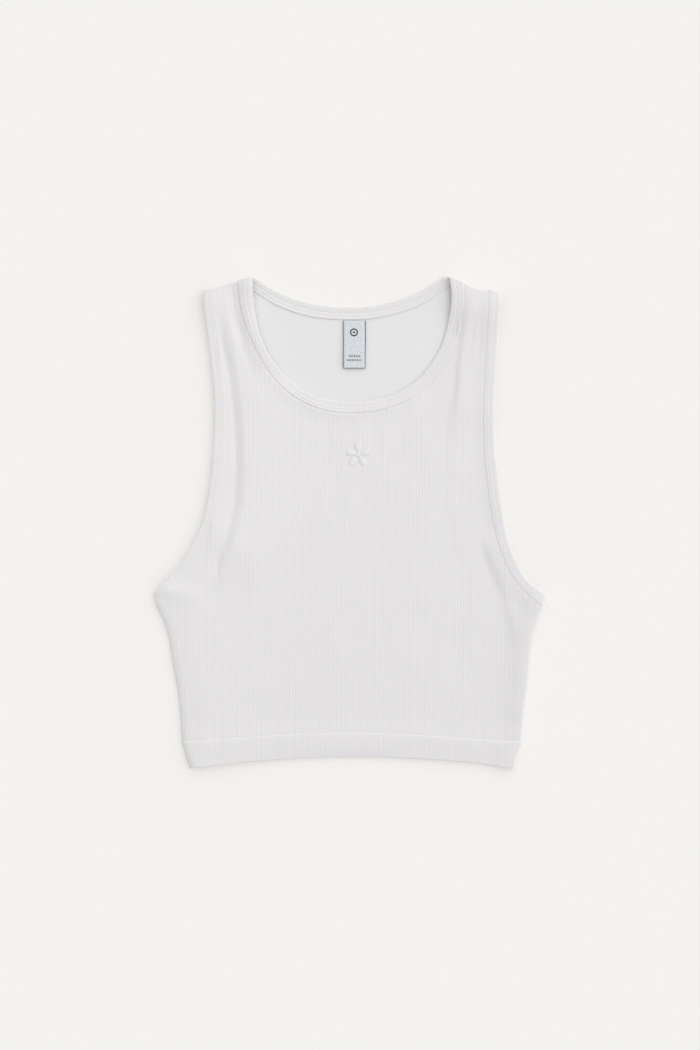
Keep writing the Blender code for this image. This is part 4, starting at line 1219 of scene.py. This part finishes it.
def knit_material(name, colour, pitch):
    """Rib knit: V-shaped stitches up each rib, fine fuzz, slight mottling, and painted shade that darkens it
    towards the hem.
    """
    material, shader, nodes = new_material(name, colour, roughness=0.92, sheen=0.15)
    place, u, v = nodes.cloth()
    across = nodes.math("FRACT", nodes.math("DIVIDE", u, pitch))
    from_crest = nodes.math("ABSOLUTE", nodes.math("SUBTRACT", across, 0.5))
    slant = nodes.math("MULTIPLY", from_crest, KNIT_SLANT)
    courses = nodes.math("ADD", nodes.math("DIVIDE", v, KNIT_COURSE), slant)
    loop = nodes.math("COSINE", nodes.math("MULTIPLY", courses, 2 * np.pi))
    fade = nodes.math("SUBTRACT", 1.0, nodes.math("MULTIPLY", from_crest, KNIT_FADE))
    fuzz = nodes.add("ShaderNodeTexNoise", Vector=place, Scale=FUZZ_SIZE, Detail=FUZZ_DETAIL)
    fuzz = nodes.math("MULTIPLY", fuzz.outputs["Fac"], FUZZ)
    nodes.bump(shader, nodes.math("ADD", nodes.math("MULTIPLY", loop, fade), fuzz), *KNIT_BUMP)
    body = nodes.mottled(place, colour, *KNIT_MOTTLE)
    # painted shade: the colour darkens towards the hem
    lower = [HEM_SHADE * part for part in colour]
    nodes.set(shader, "Base Color", nodes.blended(nodes.stretched(v, *HEM_SHADE_Y), body, lower))
    return material


def thread_material(name, colour):
    """Twisted sewing thread."""
    material, shader, nodes = new_material(name, colour, roughness=0.6, sheen=0.1)
    _, u, v = nodes.cloth()
    twist = nodes.math("SINE", nodes.math("MULTIPLY", nodes.math("ADD", u, v), THREAD_TWIST))
    nodes.bump(shader, twist, *FINE_BUMP)
    return material


def satin_material(name, colour):
    """Dense woven satin with fine ribs across the strip, and painted shade at its edges and its fold."""
    material, shader, nodes = new_material(name, colour, roughness=0.5, sheen=0.1)
    place, u, v = nodes.cloth()
    weft = nodes.math("SINE", nodes.math("MULTIPLY", v, SATIN_WEFT))
    warp = nodes.math("SINE", nodes.math("MULTIPLY", u, SATIN_WARP))
    nodes.bump(shader, nodes.math("ADD", weft, nodes.math("MULTIPLY", warp, SATIN_WARP_SHARE)), *FINE_BUMP)
    # painted shade: a darker colour along both sides of the strip and across its fold
    left = nodes.math("LESS_THAN", u, EDGE_SHADE_WIDTH)
    right = nodes.math("GREATER_THAN", u, LABEL_WIDTH - EDGE_SHADE_WIDTH)
    from_fold = nodes.math("ABSOLUTE", nodes.math("SUBTRACT", v, LABEL_FOLD_AT))
    fold = nodes.math("LESS_THAN", from_fold, FOLD_SHADE_WIDTH)
    dark = nodes.math("MAXIMUM", nodes.math("MAXIMUM", left, right), fold)
    weave = nodes.mottled(place, colour, *SATIN_MOTTLE)
    nodes.set(shader, "Base Color", nodes.blended(dark, weave, LABEL_EDGE_SHADE))
    return material


# Stage

def add_stage():
    """Plain pale floor."""
    mesh = bpy.data.meshes.new("floor")
    square = np.array([(-1, -1, 0), (1, -1, 0), (1, 1, 0), (-1, 1, 0)]) * FLOOR_REACH - (0, 0, FLOOR_BELOW)
    mesh.from_pydata(square * MM, [], [(0, 1, 2, 3)])
    paper = [(1 - FLOOR_GLOW) * part for part in FLOOR]
    material, shader, nodes = new_material("floor_paper", paper, roughness=1.0, sheen=0.0)
    nodes.set(shader, "Emission Color", (*FLOOR, 1.0))
    nodes.set(shader, "Emission Strength", FLOOR_GLOW)
    mesh.materials.append(material)
    add_object("floor", mesh)


def add_light():
    """Broad soft light that is brighter from the upper right, with a weak key."""
    world = bpy.data.worlds.new("studio")
    world.use_nodes = True
    nodes = Nodes(world.node_tree)
    background = world.node_tree.nodes["Background"]
    slant = [LIGHT_SLANT * FILL * part for part in (np.cos(LIGHT_TURN), np.sin(LIGHT_TURN), 0.0)]
    direction = nodes.add("ShaderNodeTexCoord").outputs["Generated"]
    toward = nodes.add("ShaderNodeVectorMath", i0=direction, i1=slant)
    toward.operation = "DOT_PRODUCT"
    nodes.set(background, "Color", (1.0, 1.0, 1.0, 1.0))
    nodes.set(background, "Strength", nodes.math("ADD", toward.outputs["Value"], FILL))
    bpy.context.scene.world = world
    sun = bpy.data.lights.new("key", "SUN")
    sun.energy = SUN_POWER
    sun.angle = SUN_ANGLE
    add_object("key", sun).rotation_euler = (0.0, SUN_TILT, LIGHT_TURN)


def add_camera():
    """Straight above, at a distance that shows the photo's frame."""
    data = bpy.data.cameras.new("camera")
    data.sensor_width = SENSOR
    data.lens = SENSOR * CAMERA_HEIGHT / (PHOTO_HEIGHT * PHOTO_PIXEL)
    camera = add_object("camera", data)
    x = (PHOTO_WIDTH / 2 - ORIGIN_COLUMN) * PHOTO_PIXEL
    y = (ORIGIN_ROW - PHOTO_HEIGHT / 2) * PHOTO_PIXEL
    camera.location = (x * MM, y * MM, CAMERA_HEIGHT * MM)
    bpy.context.scene.camera = camera


# Pieces

def place_piece(obj, node=None):
    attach(obj, "root")
    if node:
        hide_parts(node)


RIB_KNIT = knit_material("rib_knit", WHITE, RIB_PITCH)
INSIDE_KNIT = knit_material("rib_knit_inside", INSIDE, RIB_PITCH)
BINDING_KNIT = knit_material("binding_rib", WHITE, BAND_RIB_PITCH)
THREAD_WHITE = thread_material("sewing_thread", SEWING_WHITE)
THREAD_SILK = thread_material("embroidery_thread", SILK_WHITE)
THREAD_BLACK = thread_material("label_thread", MARK_BLACK)
SATIN = satin_material("label_satin", LABEL_GREY)

bpy.context.scene.view_settings.view_transform = "Standard"
add_camera()
add_stage()
add_light()

front = make_panel("front_cloth", FRONT_NECK, front_panel_walls, True, RIB_KNIT)
back = make_panel("back_cloth", BACK_NECK, back_panel_walls, False, INSIDE_KNIT)
front_hem = hem_stitches("front_hem_stitches", front_panel_walls, 1, THREAD_WHITE)
back_hem = hem_stitches("back_hem_stitches", back_panel_walls, -1, THREAD_WHITE)
flower = make_flower("chest_flower", THREAD_SILK)
place_piece(front, "front_panel")
place_piece(back, "back_panel")
for piece in (front_hem, back_hem, flower):
    place_piece(piece)

# Bindings: name, node, depth of the needle rows, and the curves and walls of the front and the back
BANDS = (
    ("neck_band", "neck_binding", NECK_NEEDLE, (FRONT_NECK, front_neck_walls), (BACK_NECK, back_neck_walls)),
    ("left_armhole_band", "armhole_binding_left", ARMHOLE_NEEDLE,
     (ARMHOLES[LEFT], front_band_walls), (ARMHOLES[LEFT], back_band_walls)),
    ("right_armhole_band", "armhole_binding_right", ARMHOLE_NEEDLE,
     (ARMHOLES[RIGHT], front_band_walls), (ARMHOLES[RIGHT], back_band_walls)),
)
for name, node, depth, front_side, back_side in BANDS:
    band, rings = make_band(name, depth, front_side, back_side, BINDING_KNIT)
    stitches = band_stitches(name + "_stitches", rings, THREAD_WHITE)
    place_piece(band, node)
    place_piece(stitches)

label, label_size = make_label("label_strip", SATIN)
marks = make_label_marks("label_marks", THREAD_BLACK)
place_piece(label, "neck_label")
place_piece(marks)
